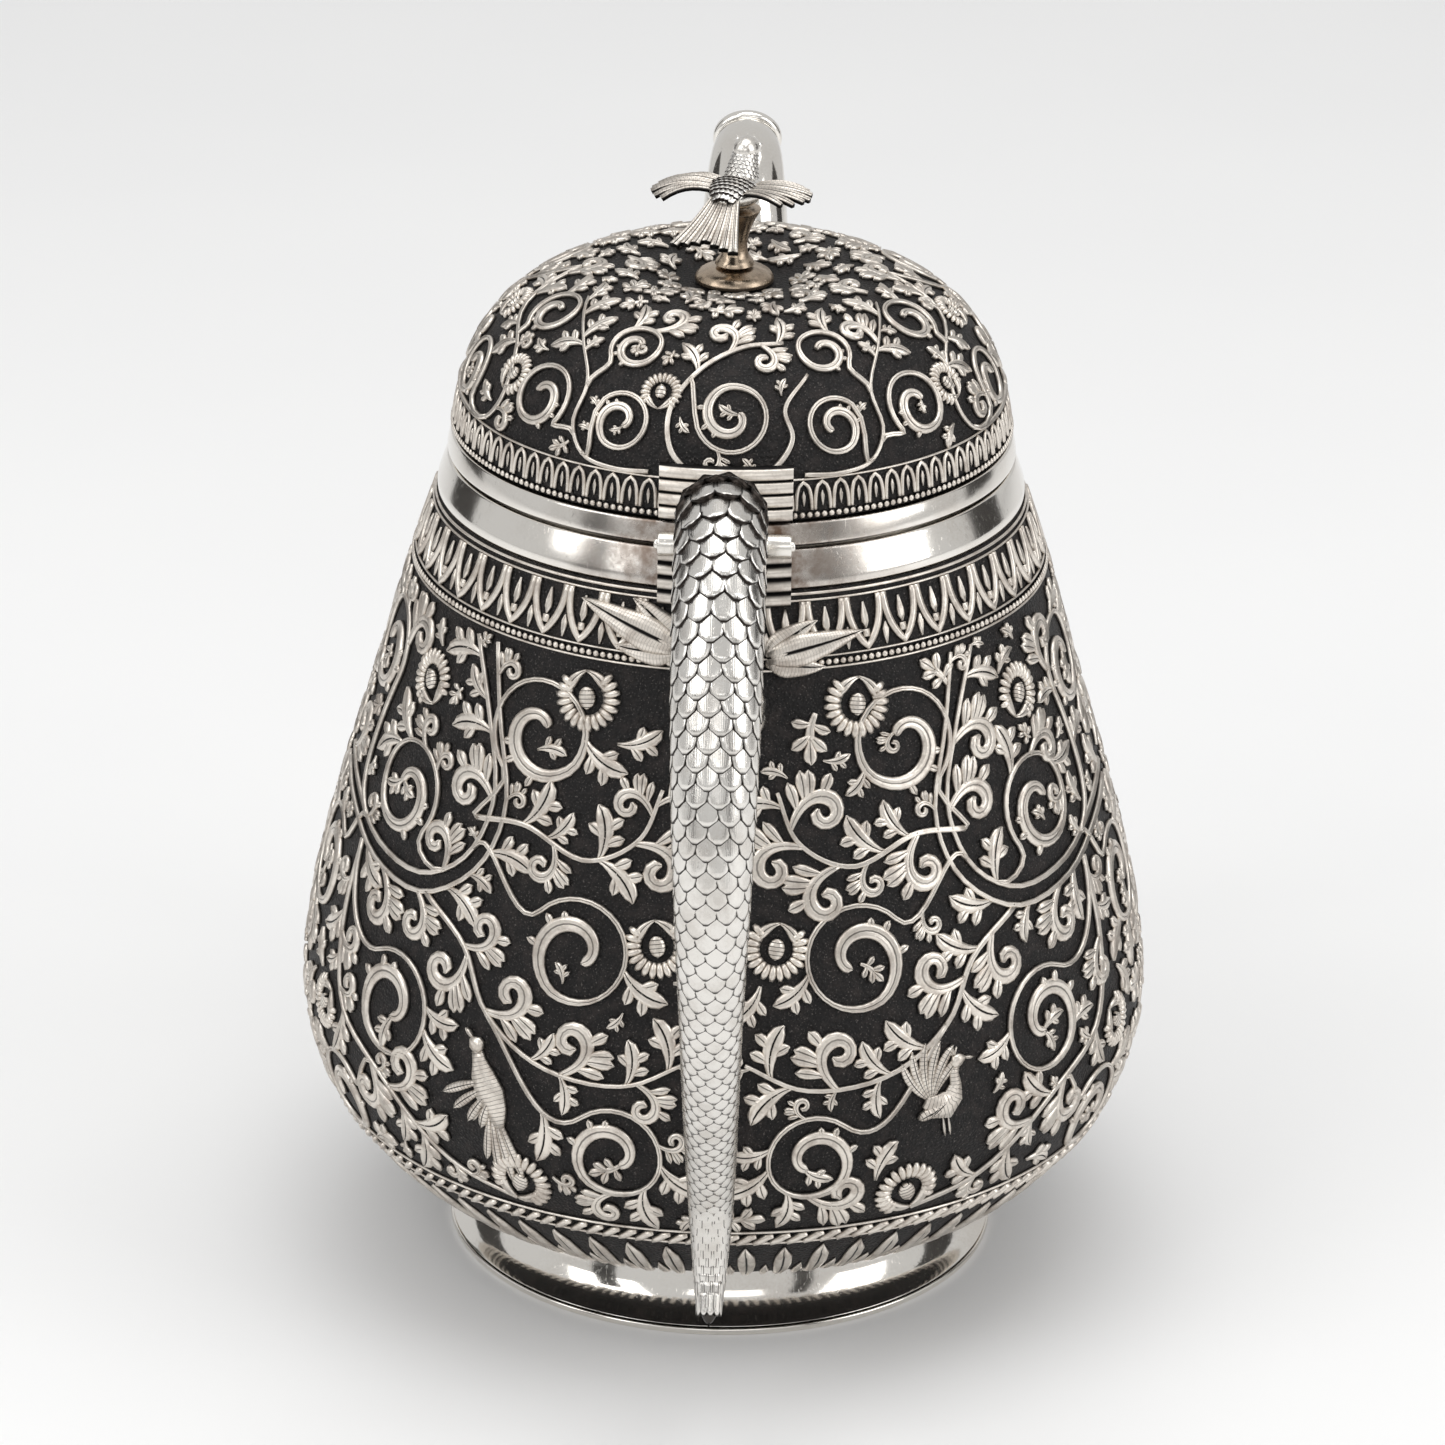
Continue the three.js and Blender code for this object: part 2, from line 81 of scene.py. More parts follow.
def catmull_rom(points, shares, uniform=False):
    """Points at the given shares of a smooth curve, each control point taking an equal share."""
    control = np.array(points, float)
    if uniform:
        control = np.vstack([control[0], control, control[-1]])
    else:
        control = np.vstack([2 * control[0] - control[1], control, 2 * control[-1] - control[-2]])
    spans = len(points) - 1
    position = np.clip(np.asarray(shares, float), 0, 1) * spans
    index = np.minimum(position.astype(int), spans - 1)
    local = (position - index)[:, None]
    p0, p1, p2, p3 = (control[index + k] for k in range(4))
    if uniform:
        d01 = d12 = d23 = np.ones((len(index), 1))
    else:
        d01, d12, d23 = (np.maximum(np.sqrt(np.linalg.norm(b - a, axis=1)), 1e-4)[:, None]
                         for a, b in ((p0, p1), (p1, p2), (p2, p3)))
    start = ((p1 - p0) / d01 - (p2 - p0) / (d01 + d12) + (p2 - p1) / d12) * d12
    finish = ((p2 - p1) / d12 - (p3 - p1) / (d12 + d23) + (p3 - p2) / d23) * d12
    square, cube = local ** 2, local ** 3
    return ((2 * cube - 3 * square + 1) * p1 + (cube - 2 * square + local) * start
            + (-2 * cube + 3 * square) * p2 + (cube - square) * finish)


class TurnedSurface:
    """A surface of revolution that ornament is laid on, with length along its outline as the height."""

    def __init__(self, outline):
        curve = catmull_rom(outline, np.linspace(0, 1, 600), uniform=True)
        steps = np.linalg.norm(np.diff(curve, axis=0), axis=1)
        self.along = np.concatenate([[0], np.cumsum(steps)])
        self.radius, self.height = curve[:, 0], curve[:, 1]
        slope = np.gradient(curve, axis=0)
        slope /= np.linalg.norm(slope, axis=1)[:, None]
        self.out_radius, self.out_height = slope[:, 1], -slope[:, 0]
        self.reference = float(self.radius.max())
        self.length = float(self.along[-1])

    def radius_at(self, along):
        return np.interp(along, self.along, self.radius)

    def along_at(self, height):
        """The distance along the outline at a height; past the crown, heights go on rising as it dips."""
        highest = int(np.argmax(self.height))
        beyond = np.arange(len(self.height)) > highest
        rising = np.where(beyond, 2 * self.height[highest] - self.height, self.height)
        return float(np.interp(height, rising, self.along))

    def place(self, across, along, lift):
        """3-D points, in millimetres, for points laid out flat and lifted off the surface."""
        radius = self.radius_at(along) + lift * np.interp(along, self.along, self.out_radius)
        height = np.interp(along, self.along, self.height) + lift * np.interp(along, self.along,
                                                                              self.out_height)
        turn = across / self.reference
        return np.stack([radius * np.sin(turn), -radius * np.cos(turn), height], axis=-1)


BODY = TurnedSurface(BODY_OUTLINE)
LID = TurnedSurface(LID_OUTLINE)


# ---- Meshes --------------------------------------------------------------------------------------------

def mesh_object(name, points, faces, material, attributes=(), uv=None):
    """A smooth-shaded object from points in millimetres. Faces may be one array of quads or a list."""
    mesh = bpy.data.meshes.new(name)
    points = np.asarray(points, float).reshape(-1, 3)
    if isinstance(faces, np.ndarray):
        loops = faces.reshape(-1)
        starts = np.arange(0, len(loops), faces.shape[1])
        totals = np.full(len(starts), faces.shape[1])
    else:
        totals = np.array([len(f) for f in faces])
        loops = np.concatenate([np.asarray(f) for f in faces])
        starts = np.concatenate([[0], np.cumsum(totals)[:-1]])
    mesh.vertices.add(len(points))
    mesh.vertices.foreach_set("co", (points * MM).astype(np.float32).ravel())
    mesh.loops.add(len(loops))
    mesh.loops.foreach_set("vertex_index", loops.astype(np.int32))
    mesh.polygons.add(len(starts))
    mesh.polygons.foreach_set("loop_start", starts.astype(np.int32))
    mesh.polygons.foreach_set("loop_total", totals.astype(np.int32))
    for label, values in attributes:
        layer = mesh.attributes.new(label, "FLOAT", "POINT")
        layer.data.foreach_set("value", np.asarray(values, np.float32))
    if uv is not None:
        layer = mesh.uv_layers.new(name="Chased")
        layer.data.foreach_set("uv", np.asarray(uv, np.float32)[loops].ravel())
    mesh.update(calc_edges=True)
    mesh.polygons.foreach_set("use_smooth", np.ones(len(starts), bool))
    mesh.validate()
    made = bpy.data.objects.new(name, mesh)
    bpy.context.scene.collection.objects.link(made)
    mesh.materials.append(material)
    return made


def grid_faces(rows, columns, start=0, wrap_rows=False, wrap_columns=False):
    """Quads over a grid of points, with their fronts towards row x column."""
    row = np.arange(rows if wrap_rows else rows - 1)
    column = np.arange(columns if wrap_columns else columns - 1)
    r, c = np.meshgrid(row, column, indexing="ij")
    r2, c2 = (r + 1) % rows, (c + 1) % columns
    corners = [r * columns + c, r * columns + c2, r2 * columns + c2, r2 * columns + c]
    return start + np.stack(corners, axis=-1).reshape(-1, 4)


def softened(outline, radius, closed=True, steps=3):
    """The outline with each corner rounded."""
    count = len(outline)
    made = []
    for i, corner in enumerate(outline):
        corner = np.array(corner, float)
        if (not closed and i in (0, count - 1)) or corner[0] < 1e-6:
            made.append(corner)
            continue
        back = np.array(outline[i - 1], float) - corner
        ahead = np.array(outline[(i + 1) % count], float) - corner
        lengths = np.linalg.norm(back), np.linalg.norm(ahead)
        reach = min(radius, 0.45 * lengths[0], 0.45 * lengths[1])
        first, last = corner + back / lengths[0] * reach, corner + ahead / lengths[1] * reach
        for k in range(steps + 1):
            t = k / steps
            made.append((1 - t) ** 2 * first + 2 * t * (1 - t) * corner + t ** 2 * last)
    return made


def turned(name, outline, material, segments=192, centre=(0, 0), soften=0.25, turn=0.0):
    """A closed outline of (radius, height) turned round an upright axis."""
    outline = np.array(softened(outline, soften))
    area = np.sum(outline[:, 0] * np.roll(outline[:, 1], -1) - np.roll(outline[:, 0], -1) * outline[:, 1])
    if area < 0:
        outline = outline[::-1]
    angles = turn + np.linspace(0, 2 * math.pi, segments, endpoint=False)
    ring = np.stack([np.cos(angles), np.sin(angles)], axis=-1)
    points = np.concatenate([outline[None, :, 0, None] * ring[:, None, :] + np.array(centre),
                             np.broadcast_to(outline[None, :, 1, None], (segments, len(outline), 1))],
                             axis=-1)
    faces = grid_faces(segments, len(outline), wrap_rows=True, wrap_columns=True)
    # Each row is one copy of the outline, and rows run anticlockwise seen from above.
    made = mesh_object(name, points, faces, material)
    weld(made)
    return made


def weld(made, distance=1e-7):
    """Merges doubles, drops collapsed faces and turns every face outwards."""
    work = bmesh.new()
    work.from_mesh(made.data)
    bmesh.ops.remove_doubles(work, verts=work.verts, dist=distance)
    bmesh.ops.dissolve_degenerate(work, edges=work.edges, dist=distance)
    bmesh.ops.recalc_face_normals(work, faces=work.faces)
    work.to_mesh(made.data)
    work.free()
    return made


class BentTube:
    """An elliptical tube that follows a path of (y, z, radius across, radius in the plane)."""

    def __init__(self, path, samples=900):
        raw = np.linspace(0, 1, samples)
        line = catmull_rom([(0, y, z) for y, z, _, _ in path], raw)
        size = catmull_rom([(a, b, 0) for _, _, a, b in path], raw)
        travelled = np.concatenate([[0], np.cumsum(np.linalg.norm(np.diff(line, axis=0), axis=1))])
        self.length = travelled[-1]
        even = np.linspace(0, self.length, samples)
        self.along = even
        self.middle = np.stack([np.interp(even, travelled, line[:, k]) for k in range(3)], axis=-1)
        self.size = np.stack([np.interp(even, travelled, size[:, k]) for k in range(2)], axis=-1)
        forward = np.gradient(self.middle, axis=0)
        self.forward = forward / np.linalg.norm(forward, axis=1)[:, None]

    def place(self, distance, turn, lift):
        """Points along the path and round it; turn 0 is +X and a quarter turn is outwards."""
        distance, turn, lift = np.broadcast_arrays(distance, turn, lift)
        at = [np.interp(distance, self.along, self.middle[:, k]) for k in range(3)]
        ahead = [np.interp(distance, self.along, self.forward[:, k]) for k in (1, 2)]
        across = (np.interp(distance, self.along, self.size[:, 0]) + lift) * np.cos(turn)
        inwards = (np.interp(distance, self.along, self.size[:, 1]) + lift) * np.sin(turn)
        return np.stack([at[0] + across, at[1] + inwards * ahead[1], at[2] - inwards * ahead[0]], axis=-1)


# ---- Shader graphs -------------------------------------------------------------------------------------

class Graph:
    """Short calls for building a node tree."""

    def __init__(self, tree):
        self.tree = tree

    def node(self, kind, inputs=(), **settings):
        made = self.tree.nodes.new(kind)
        for key, value in settings.items():
            setattr(made, key, value)
        for key, value in dict(inputs).items():
            if isinstance(value, bpy.types.NodeSocket):
                self.tree.links.new(value, made.inputs[key])
            else:
                made.inputs[key].default_value = value
        return made

    def math(self, operation, first, second=0.0, third=0.0, clamp=False):
        inputs = {0: first, 1: second}
        if operation in ("MULTIPLY_ADD", "SMOOTH_MIN", "SMOOTH_MAX", "COMPARE"):
            inputs[2] = third
        return self.node("ShaderNodeMath", inputs, operation=operation, use_clamp=clamp).outputs[0]

    def mix(self, factor, first, second):
        made = self.node("ShaderNodeMix", data_type="RGBA")
        for key, value in ((0, factor), (6, first), (7, second)):
            if isinstance(value, bpy.types.NodeSocket):
                self.tree.links.new(value, made.inputs[key])
            else:
                made.inputs[key].default_value = value
        return made.outputs[2]

    def span(self, value, low, high, out_low=0.0, out_high=1.0, smooth=True):
        kind = "SMOOTHSTEP" if smooth else "LINEAR"
        inputs = {0: value, 1: low, 2: high, 3: out_low, 4: out_high}
        return self.node("ShaderNodeMapRange", inputs, interpolation_type=kind).outputs[0]

    def noise(self, vector, scale, detail=3.0, roughness=0.55, distortion=0.0):
        inputs = {"Vector": vector, "Scale": scale, "Detail": detail, "Roughness": roughness,
                  "Distortion": distortion}
        return self.node("ShaderNodeTexNoise", inputs).outputs[0]

    def attribute(self, name):
        return self.node("ShaderNodeAttribute", attribute_name=name).outputs["Fac"]

    def place(self):
        return self.node("ShaderNodeTexCoord").outputs["Object"]


def group(name, inputs, outputs, build):
    """A shader node group with named sockets, made once."""
    if name in bpy.data.node_groups:
        return bpy.data.node_groups[name]
    tree = bpy.data.node_groups.new(name, "ShaderNodeTree")
    for label, kind, default in inputs:
        made = tree.interface.new_socket(label, in_out="INPUT", socket_type=kind)
        made.default_value = default
    for label, kind in outputs:
        tree.interface.new_socket(label, in_out="OUTPUT", socket_type=kind)
    graph = Graph(tree)
    entry = graph.node("NodeGroupInput")
    results = build(graph, entry.outputs)
    leave = graph.node("NodeGroupOutput")
    for label, socket in results.items():
        tree.links.new(socket, leave.inputs[label])
    return tree


FLOAT, COLOR, VECTOR = "NodeSocketFloat", "NodeSocketColor", "NodeSocketVector"


def tone_group():
    """Silver that is cleaner in some places than others: a colour and a roughness that drift."""
    def build(graph, given):
        where = graph.place()
        cloud = graph.noise(where, given["Cloud Scale"], 4.0, 0.6, 0.4)
        speck = graph.noise(where, 2600.0, 2.0, 0.6)
        dull = graph.span(graph.math("ADD", cloud, graph.math("MULTIPLY", speck, 0.22)), 0.5, 0.84)
        share = graph.math("MULTIPLY", dull, given["Tarnish"], clamp=True)
        colour = graph.mix(share, given["Clean"], given["Tarnished"])
        rough = graph.math("MULTIPLY_ADD", share, given["Roughness Gain"], given["Roughness"])
        return {"Color": colour, "Roughness": rough}
    return group("Silver Tone", (
        ("Clean", COLOR, (0.85, 0.82, 0.77, 1)), ("Tarnished", COLOR, (0.45, 0.37, 0.29, 1)),
        ("Tarnish", FLOAT, 0.4), ("Cloud Scale", FLOAT, 60.0),
        ("Roughness", FLOAT, 0.2), ("Roughness Gain", FLOAT, 0.25),
    ), (("Color", COLOR), ("Roughness", FLOAT)), build)


def wear_group():
    """Hairline scratches, tiny dents and the soft ripple of hand-planished sheet, as a height."""
    def build(graph, given):
        where = graph.place()
        stretched = graph.node("ShaderNodeMapping", {"Vector": where, "Scale": (900.0, 900.0, 60.0),
                                                     "Rotation": (0.5, 0.2, 0.3)}).outputs[0]
        scratch = graph.span(graph.noise(stretched, 3.0, 2.0, 0.7), 0.62, 0.7)
        ripple = graph.noise(where, given["Ripple Scale"], 1.0, 0.4)
        dents = graph.noise(where, 900.0, 1.0, 0.5)
        height = graph.math("MULTIPLY_ADD", ripple, given["Ripple"],
                            graph.math("MULTIPLY", scratch, given["Scratches"]))
        height = graph.math("MULTIPLY_ADD", dents, 0.12, height)
        return {"Height": height, "Scratch": scratch}
    return group("Worn Sheet", (
        ("Scratches", FLOAT, 0.05), ("Ripple", FLOAT, 0.6), ("Ripple Scale", FLOAT, 90.0),
    ), (("Height", FLOAT), ("Scratch", FLOAT)), build)


def stipple_group():
    """The matted ground between leaves: close punch marks and crusts left by the blackening."""
    def build(graph, given):
        where = graph.place()
        cells = graph.node("ShaderNodeTexVoronoi", {"Vector": where, "Scale": given["Punches"]},
                           feature="F1").outputs["Distance"]
        crust = graph.noise(where, 420.0, 4.0, 0.7)
        glint = graph.span(graph.noise(where, 3800.0, 1.0, 0.5), 0.6, 0.8)
        height = graph.math("MULTIPLY_ADD", cells, 0.7, graph.math("MULTIPLY", crust, 0.6))
        return {"Height": height, "Crust": graph.span(crust, 0.45, 0.7), "Glint": glint}
    return group("Punched Ground", (("Punches", FLOAT, 1700.0),),
                 (("Height", FLOAT), ("Crust", FLOAT), ("Glint", FLOAT)), build)


def use_group(graph, tree, inputs=()):
    made = graph.node("ShaderNodeGroup", node_tree=tree)
    for key, value in dict(inputs).items():
        if isinstance(value, bpy.types.NodeSocket):
            graph.tree.links.new(value, made.inputs[key])
        else:
            made.inputs[key].default_value = value
    return made.outputs


def finish_material(name, build, metallic=1.0, bump=0.3, depth=0.0002):
    """A material whose build function gives a colour, a roughness and perhaps a height."""
    if name in bpy.data.materials:
        return bpy.data.materials[name]
    made = bpy.data.materials.new(name)
    made.use_nodes = True
    graph = Graph(made.node_tree)
    surface = made.node_tree.nodes["Principled BSDF"]
    surface.inputs["Metallic"].default_value = metallic
    surface.inputs["Specular IOR Level"].default_value = 0.5 if metallic > 0.3 else 0.25
    result = build(graph)
    made.node_tree.links.new(result["Color"], surface.inputs["Base Color"])
    made.node_tree.links.new(result["Roughness"], surface.inputs["Roughness"])
    if "Metallic" in result:
        made.node_tree.links.new(result["Metallic"], surface.inputs["Metallic"])
    if "Height" in result:
        relief = graph.node("ShaderNodeBump", {"Strength": bump, "Distance": depth,
                                               "Height": result["Height"]})
        made.node_tree.links.new(relief.outputs[0], surface.inputs["Normal"])
    return made


def polished_silver():
    look = bpy.context.scene.silver_pot_finish

    def build(graph):
        tone = use_group(graph, tone_group(), {
            "Clean": (*look.bright, 1), "Tarnished": (0.42, 0.33, 0.25, 1), "Tarnish": 0.42 * look.tarnish,
            "Cloud Scale": 34.0, "Roughness": 0.09, "Roughness Gain": 0.16})
        wear = use_group(graph, wear_group(), {"Scratches": 0.1, "Ripple": 1.0, "Ripple Scale": 70.0})
        rough = graph.math("MULTIPLY_ADD", wear["Scratch"], 0.07, tone["Roughness"])
        return {"Color": tone["Color"], "Roughness": rough, "Height": wear["Height"]}
    return finish_material("polished_silver_finish", build, bump=0.18)


def silver_with_painted_shadow():
    """The polished collar and band, with the handle's shadow painted in dark brown by the hinge."""
    look = bpy.context.scene.silver_pot_finish

    def build(graph):
        where = graph.place()
        split = graph.node("ShaderNodeSeparateXYZ", {0: where}).outputs
        sideways = graph.math("ABSOLUTE", split["X"])
        # Painted shadow of the handle: a patchy dark brown under the handle by the hinge, made a little
        # rougher there too.
        near = graph.math("MULTIPLY", graph.span(sideways, 0.006, 0.03, 1.0, 0.0),
                          graph.span(split["Y"], -0.03, -0.038))
        patch = graph.span(graph.noise(where, 190.0, 5.0, 0.7), 0.35, 0.62)
        painted_shadow = graph.math("MULTIPLY", near, graph.math("MULTIPLY_ADD", patch, 0.6, 0.4), clamp=True)
        tone = use_group(graph, tone_group(), {
            "Clean": (*look.bright, 1), "Tarnished": (0.42, 0.33, 0.25, 1), "Tarnish": 0.5 * look.tarnish,
            "Cloud Scale": 40.0, "Roughness": 0.12, "Roughness Gain": 0.18})
        wear = use_group(graph, wear_group(), {"Scratches": 0.12, "Ripple": 0.9, "Ripple Scale": 80.0})
        # The painted shadow turns the colour dark brown.
        colour = graph.mix(painted_shadow, tone["Color"], (0.16, 0.105, 0.075, 1))
        rough = graph.math("MULTIPLY_ADD", painted_shadow, 0.25, tone["Roughness"])
        return {"Color": colour, "Roughness": rough, "Height": wear["Height"]}
    return finish_material("silver_with_painted_shadow_finish", build, bump=0.2)


def satin_silver():
    look = bpy.context.scene.silver_pot_finish

    def build(graph):
        tone = use_group(graph, tone_group(), {
            "Clean": (*look.bright, 1), "Tarnished": (0.24, 0.19, 0.15, 1), "Tarnish": 0.6 * look.tarnish,
            "Cloud Scale": 170.0, "Roughness": 0.22, "Roughness Gain": 0.2})
        wear = use_group(graph, wear_group(), {"Scratches": 0.5, "Ripple": 0.8, "Ripple Scale": 300.0})
        return {"Color": tone["Color"], "Roughness": tone["Roughness"], "Height": wear["Height"]}
    return finish_material("satin_silver_finish", build, bump=0.35)


def toned_silver():
    def build(graph):
        tone = use_group(graph, tone_group(), {
            "Clean": (0.5, 0.4, 0.3, 1), "Tarnished": (0.09, 0.06, 0.045, 1), "Tarnish": 0.9,
            "Cloud Scale": 210.0, "Roughness": 0.24, "Roughness Gain": 0.3})
        wear = use_group(graph, wear_group(), {"Scratches": 0.4, "Ripple": 0.8, "Ripple Scale": 260.0})
        return {"Color": tone["Color"], "Roughness": tone["Roughness"], "Height": wear["Height"]}
    return finish_material("toned_silver_finish", build, bump=0.4)


def blackened_ground():
    look = bpy.context.scene.silver_pot_finish

    def build(graph):
        punched = use_group(graph, stipple_group(), {"Punches": 1900.0})
        dark = graph.mix(punched["Crust"], (*look.ground, 1), (0.024, 0.02, 0.019, 1))
        colour = graph.mix(graph.math("MULTIPLY", punched["Glint"], 0.3), dark, (0.3, 0.27, 0.25, 1))
        rough = graph.math("MULTIPLY_ADD", punched["Crust"], 0.15, 0.55)
        return {"Color": colour, "Roughness": rough, "Height": punched["Height"]}
    return finish_material("blackened_ground_finish", build, metallic=0.1, bump=0.9, depth=0.0003)


def chased_silver():
    """Raised work: bright on its crown, black down its sides and in every engraved line."""
    look = bpy.context.scene.silver_pot_finish

    def build(graph):
        relief, vein, hatch = (graph.attribute(name) for name in ("relief", "vein", "hatch"))
        where = graph.node("ShaderNodeUVMap", uv_map="Chased").outputs[0]
        split = graph.node("ShaderNodeSeparateXYZ", {0: where}).outputs
        offset = graph.math("ABSOLUTE", split["X"])
        line = graph.math("MULTIPLY", graph.span(offset, 0.05, 0.15, 1.0, 0.0), vein)
        ribs = graph.math("ABSOLUTE", graph.math("SINE", graph.math("MULTIPLY", split["Y"], 5.2)))
        ribs = graph.math("MULTIPLY", graph.span(ribs, 0.12, 0.4, 1.0, 0.0), hatch)
        crown = graph.span(relief, 0.22, 0.6)
        open_metal = graph.math("MULTIPLY", crown,
                                graph.math("SUBTRACT", 1.0, graph.math("MAXIMUM", line, ribs),
                                                              clamp=True))
        tone = use_group(graph, tone_group(), {
            "Clean": (0.78, 0.725, 0.655, 1), "Tarnished": (0.3, 0.245, 0.205, 1),
            "Tarnish": 0.95 * look.tarnish,
            "Cloud Scale": 260.0, "Roughness": 0.3, "Roughness Gain": 0.2})
        colour = graph.mix(open_metal, (*look.ground, 1), tone["Color"])
        wear = use_group(graph, wear_group(), {"Scratches": 0.4, "Ripple": 1.0, "Ripple Scale": 700.0})
        height = graph.math("MULTIPLY_ADD", open_metal, 1.0, graph.math("MULTIPLY", wear["Height"], 0.5))
        rough = graph.span(open_metal, 0.0, 1.0, 0.5, 0.0, smooth=False)
        rough = graph.math("MAXIMUM", rough, tone["Roughness"])
        return {"Color": colour, "Roughness": rough, "Height": height}
    return finish_material("chased_silver_finish", build, metallic=0.85, bump=0.45, depth=0.00012)


def scaled_silver():
    """The handle's scales: bright, finely lined along their length, and black where each meets the next."""
    look = bpy.context.scene.silver_pot_finish

    def build(graph):
        relief = graph.attribute("relief")
        where = graph.node("ShaderNodeUVMap", uv_map="Chased").outputs[0]
        split = graph.node("ShaderNodeSeparateXYZ", {0: where}).outputs
        fine = graph.math("SINE", graph.math("MULTIPLY", split["X"], 40.0))
        edge = graph.span(relief, 0.1, 0.5)
        tone = use_group(graph, tone_group(), {
            "Clean": (0.8, 0.775, 0.735, 1), "Tarnished": (0.36, 0.31, 0.26, 1),
            "Tarnish": 0.5 * look.tarnish,
            "Cloud Scale": 220.0, "Roughness": 0.2, "Roughness Gain": 0.22})
        colour = graph.mix(edge, (0.03, 0.025, 0.022, 1), tone["Color"])
        wear = use_group(graph, wear_group(), {"Scratches": 0.6, "Ripple": 0.8, "Ripple Scale": 500.0})
        height = graph.math("MULTIPLY_ADD", fine, 0.1, graph.math("MULTIPLY", wear["Height"], 0.7))
        return {"Color": colour, "Roughness": tone["Roughness"], "Height": height}
    return finish_material("scaled_silver_finish", build, bump=0.3, depth=0.0001)


def pale_floor():
    def build(graph):
        cloud = graph.noise(graph.place(), 8.0, 2.0, 0.5)
        colour = graph.mix(cloud, (0.86, 0.86, 0.86, 1), (0.89, 0.89, 0.885, 1))
        return {"Color": colour, "Roughness": graph.span(cloud, 0.0, 1.0, 0.5, 0.6)}
    return finish_material("pale_floor_finish", build, metallic=0.0)


def card_grey():
    def build(graph):
        cloud = graph.noise(graph.place(), 6.0, 2.0, 0.5)
        return {"Color": graph.mix(cloud, (0.035, 0.033, 0.032, 1), (0.05, 0.047, 0.045, 1)),
                "Roughness": graph.span(cloud, 0.0, 1.0, 0.7, 0.9)}
    return finish_material("card_grey_finish", build, metallic=0.0)


# ---- Chasing: ribbons of raised metal laid over a turned surface -------------------------------------------

# Each section is a row of (share of half-width, share of height) from the ribbon's left edge to its right.
SECTIONS = {
    "stem": ((-1, -0.35), (-0.8, 0.6), (-0.3, 1.0), (0.12, 0.62), (0.4, 0.85), (0.8, 0.5), (1, -0.35)),
    "leaf": ((-1, -0.35), (-0.8, 0.66), (-0.36, 1.0), (0, 0.55), (0.36, 1.0), (0.8, 0.66), (1, -0.35)),
    "flat": ((-1, -0.35), (-0.84, 0.8), (0, 1.0), (0.84, 0.8), (1, -0.35)),
}


def sweep(start, heading, length, bend=0.0, quicken=0.0, steps=8):
    """A path that sets off at a heading and turns by bend radians, and by quicken more towards its end."""
    share = np.linspace(0, 1, steps)
    heading = heading + bend * share + quicken * share ** 2
    middle = (heading[1:] + heading[:-1]) / 2
    step = length / (steps - 1)
    moves = np.stack([np.cos(middle), np.sin(middle)], axis=-1) * step
    points = np.vstack([[0, 0], np.cumsum(moves, axis=0)]) + np.array(start)
    return points, heading


def teardrop(share, belly=0.66, base=0.24):
    """Half-width of a lobe along its length: narrow, then full, then round."""
    rise = base + (1 - base) * np.sin(np.clip(share / belly, 0, 1) * math.pi / 2) ** 1.4
    fall = np.sqrt(np.clip(1 - (np.clip((share - belly) / (1 - belly), 0, 1)) ** 2, 0.012, 1))
    return rise * fall


class Ribbon:
    """One raised stroke, laid out flat in true millimetres from its own anchor."""

    def __init__(self, points, width, height, section="leaf", vein=0.0, hatch=0.0):
        self.points = np.asarray(points, float)
        self.width = np.broadcast_to(width, len(self.points)).astype(float)
        self.height = np.broadcast_to(height, len(self.points)).astype(float)
        self.section, self.vein, self.hatch = section, vein, hatch


def lobe(start, heading, length, width, bend=0.0, height=0.85, vein=0.8, steps=7, section="leaf", hatch=0.0):
    points, _ = sweep(start, heading, length, bend, steps=steps)
    share = np.linspace(0, 1, steps)
    return Ribbon(points, width * teardrop(share), height * (0.6 + 0.4 * np.sin(share * math.pi * 0.8)),
                  section, vein, hatch)


def curl_leaf():
    """A leaf that rolls up to a round bead, with a comb of lobes along its outer edge."""
    steps = 20
    points, turns = sweep((0, 0), 0.0, 1.95, 0.2, 6.4, steps)
    share = np.linspace(0, 1, steps)
    width = np.interp(share, (0, 0.3, 0.5, 0.75, 0.9, 1.0), (0.06, 0.12, 0.175, 0.13, 0.135, 0.125))
    width *= np.sqrt(np.clip(1 - np.clip((share - 0.92) / 0.08, 0, 1) ** 2, 0.08, 1))
    made = [Ribbon(points, width, 0.66 + 0.3 * share, "leaf", 0.6)]
    combs = ((0.18, 0.7, 0.56, 0.12), (0.27, 0.85, 0.58, 0.14), (0.36, 0.95, 0.52, 0.14),
             (0.46, 1.0, 0.42, 0.13))
    for place, splay, length, wide in combs:
        i = int(place * (steps - 1))
        made.append(lobe(points[i], turns[i] - splay, length, wide, -0.25))
    return made


def open_leaf():
    """Five lobes fanned from a short stalk."""
    rib, turns = sweep((0, 0), 0.0, 0.55, 0.5, steps=6)
    made = [Ribbon(rib, np.linspace(0.07, 0.13, 6), 0.66, "stem", 0.3)]
    fan = ((5, 0.0, 0.5, 0.165), (4, 0.66, 0.48, 0.145), (4, -0.66, 0.48, 0.145), (2, 1.1, 0.42, 0.125),
           (2, -1.1, 0.42, 0.125))
    for index, splay, length, width in fan:
        made.append(lobe(rib[index], turns[index] + splay, length, width, splay * 0.55))
    return made


def long_leaf():
    """One broad leaf with a midrib, a turned tip and a nick on each side."""
    middle, turns = sweep((0, 0), 0.0, 1.0, 1.0, steps=9)
    made = [lobe((0, 0), 0.0, 1.0, 0.185, 1.0, 0.9, 1.0, steps=9)]
    for index, side in ((3, 1), (4, -1), (2, -1)):
        made.append(lobe(middle[index], turns[index] + side * 0.75, 0.4, 0.12, side * 0.4))
    return made


def bud():
    """A bead on a short stalk with a small side leaf."""
    return [lobe((0, 0), 0.0, 1.0, 0.2, 1.3, 0.85, 0.4), lobe((0, 0), -0.9, 0.66, 0.16, -0.5)]


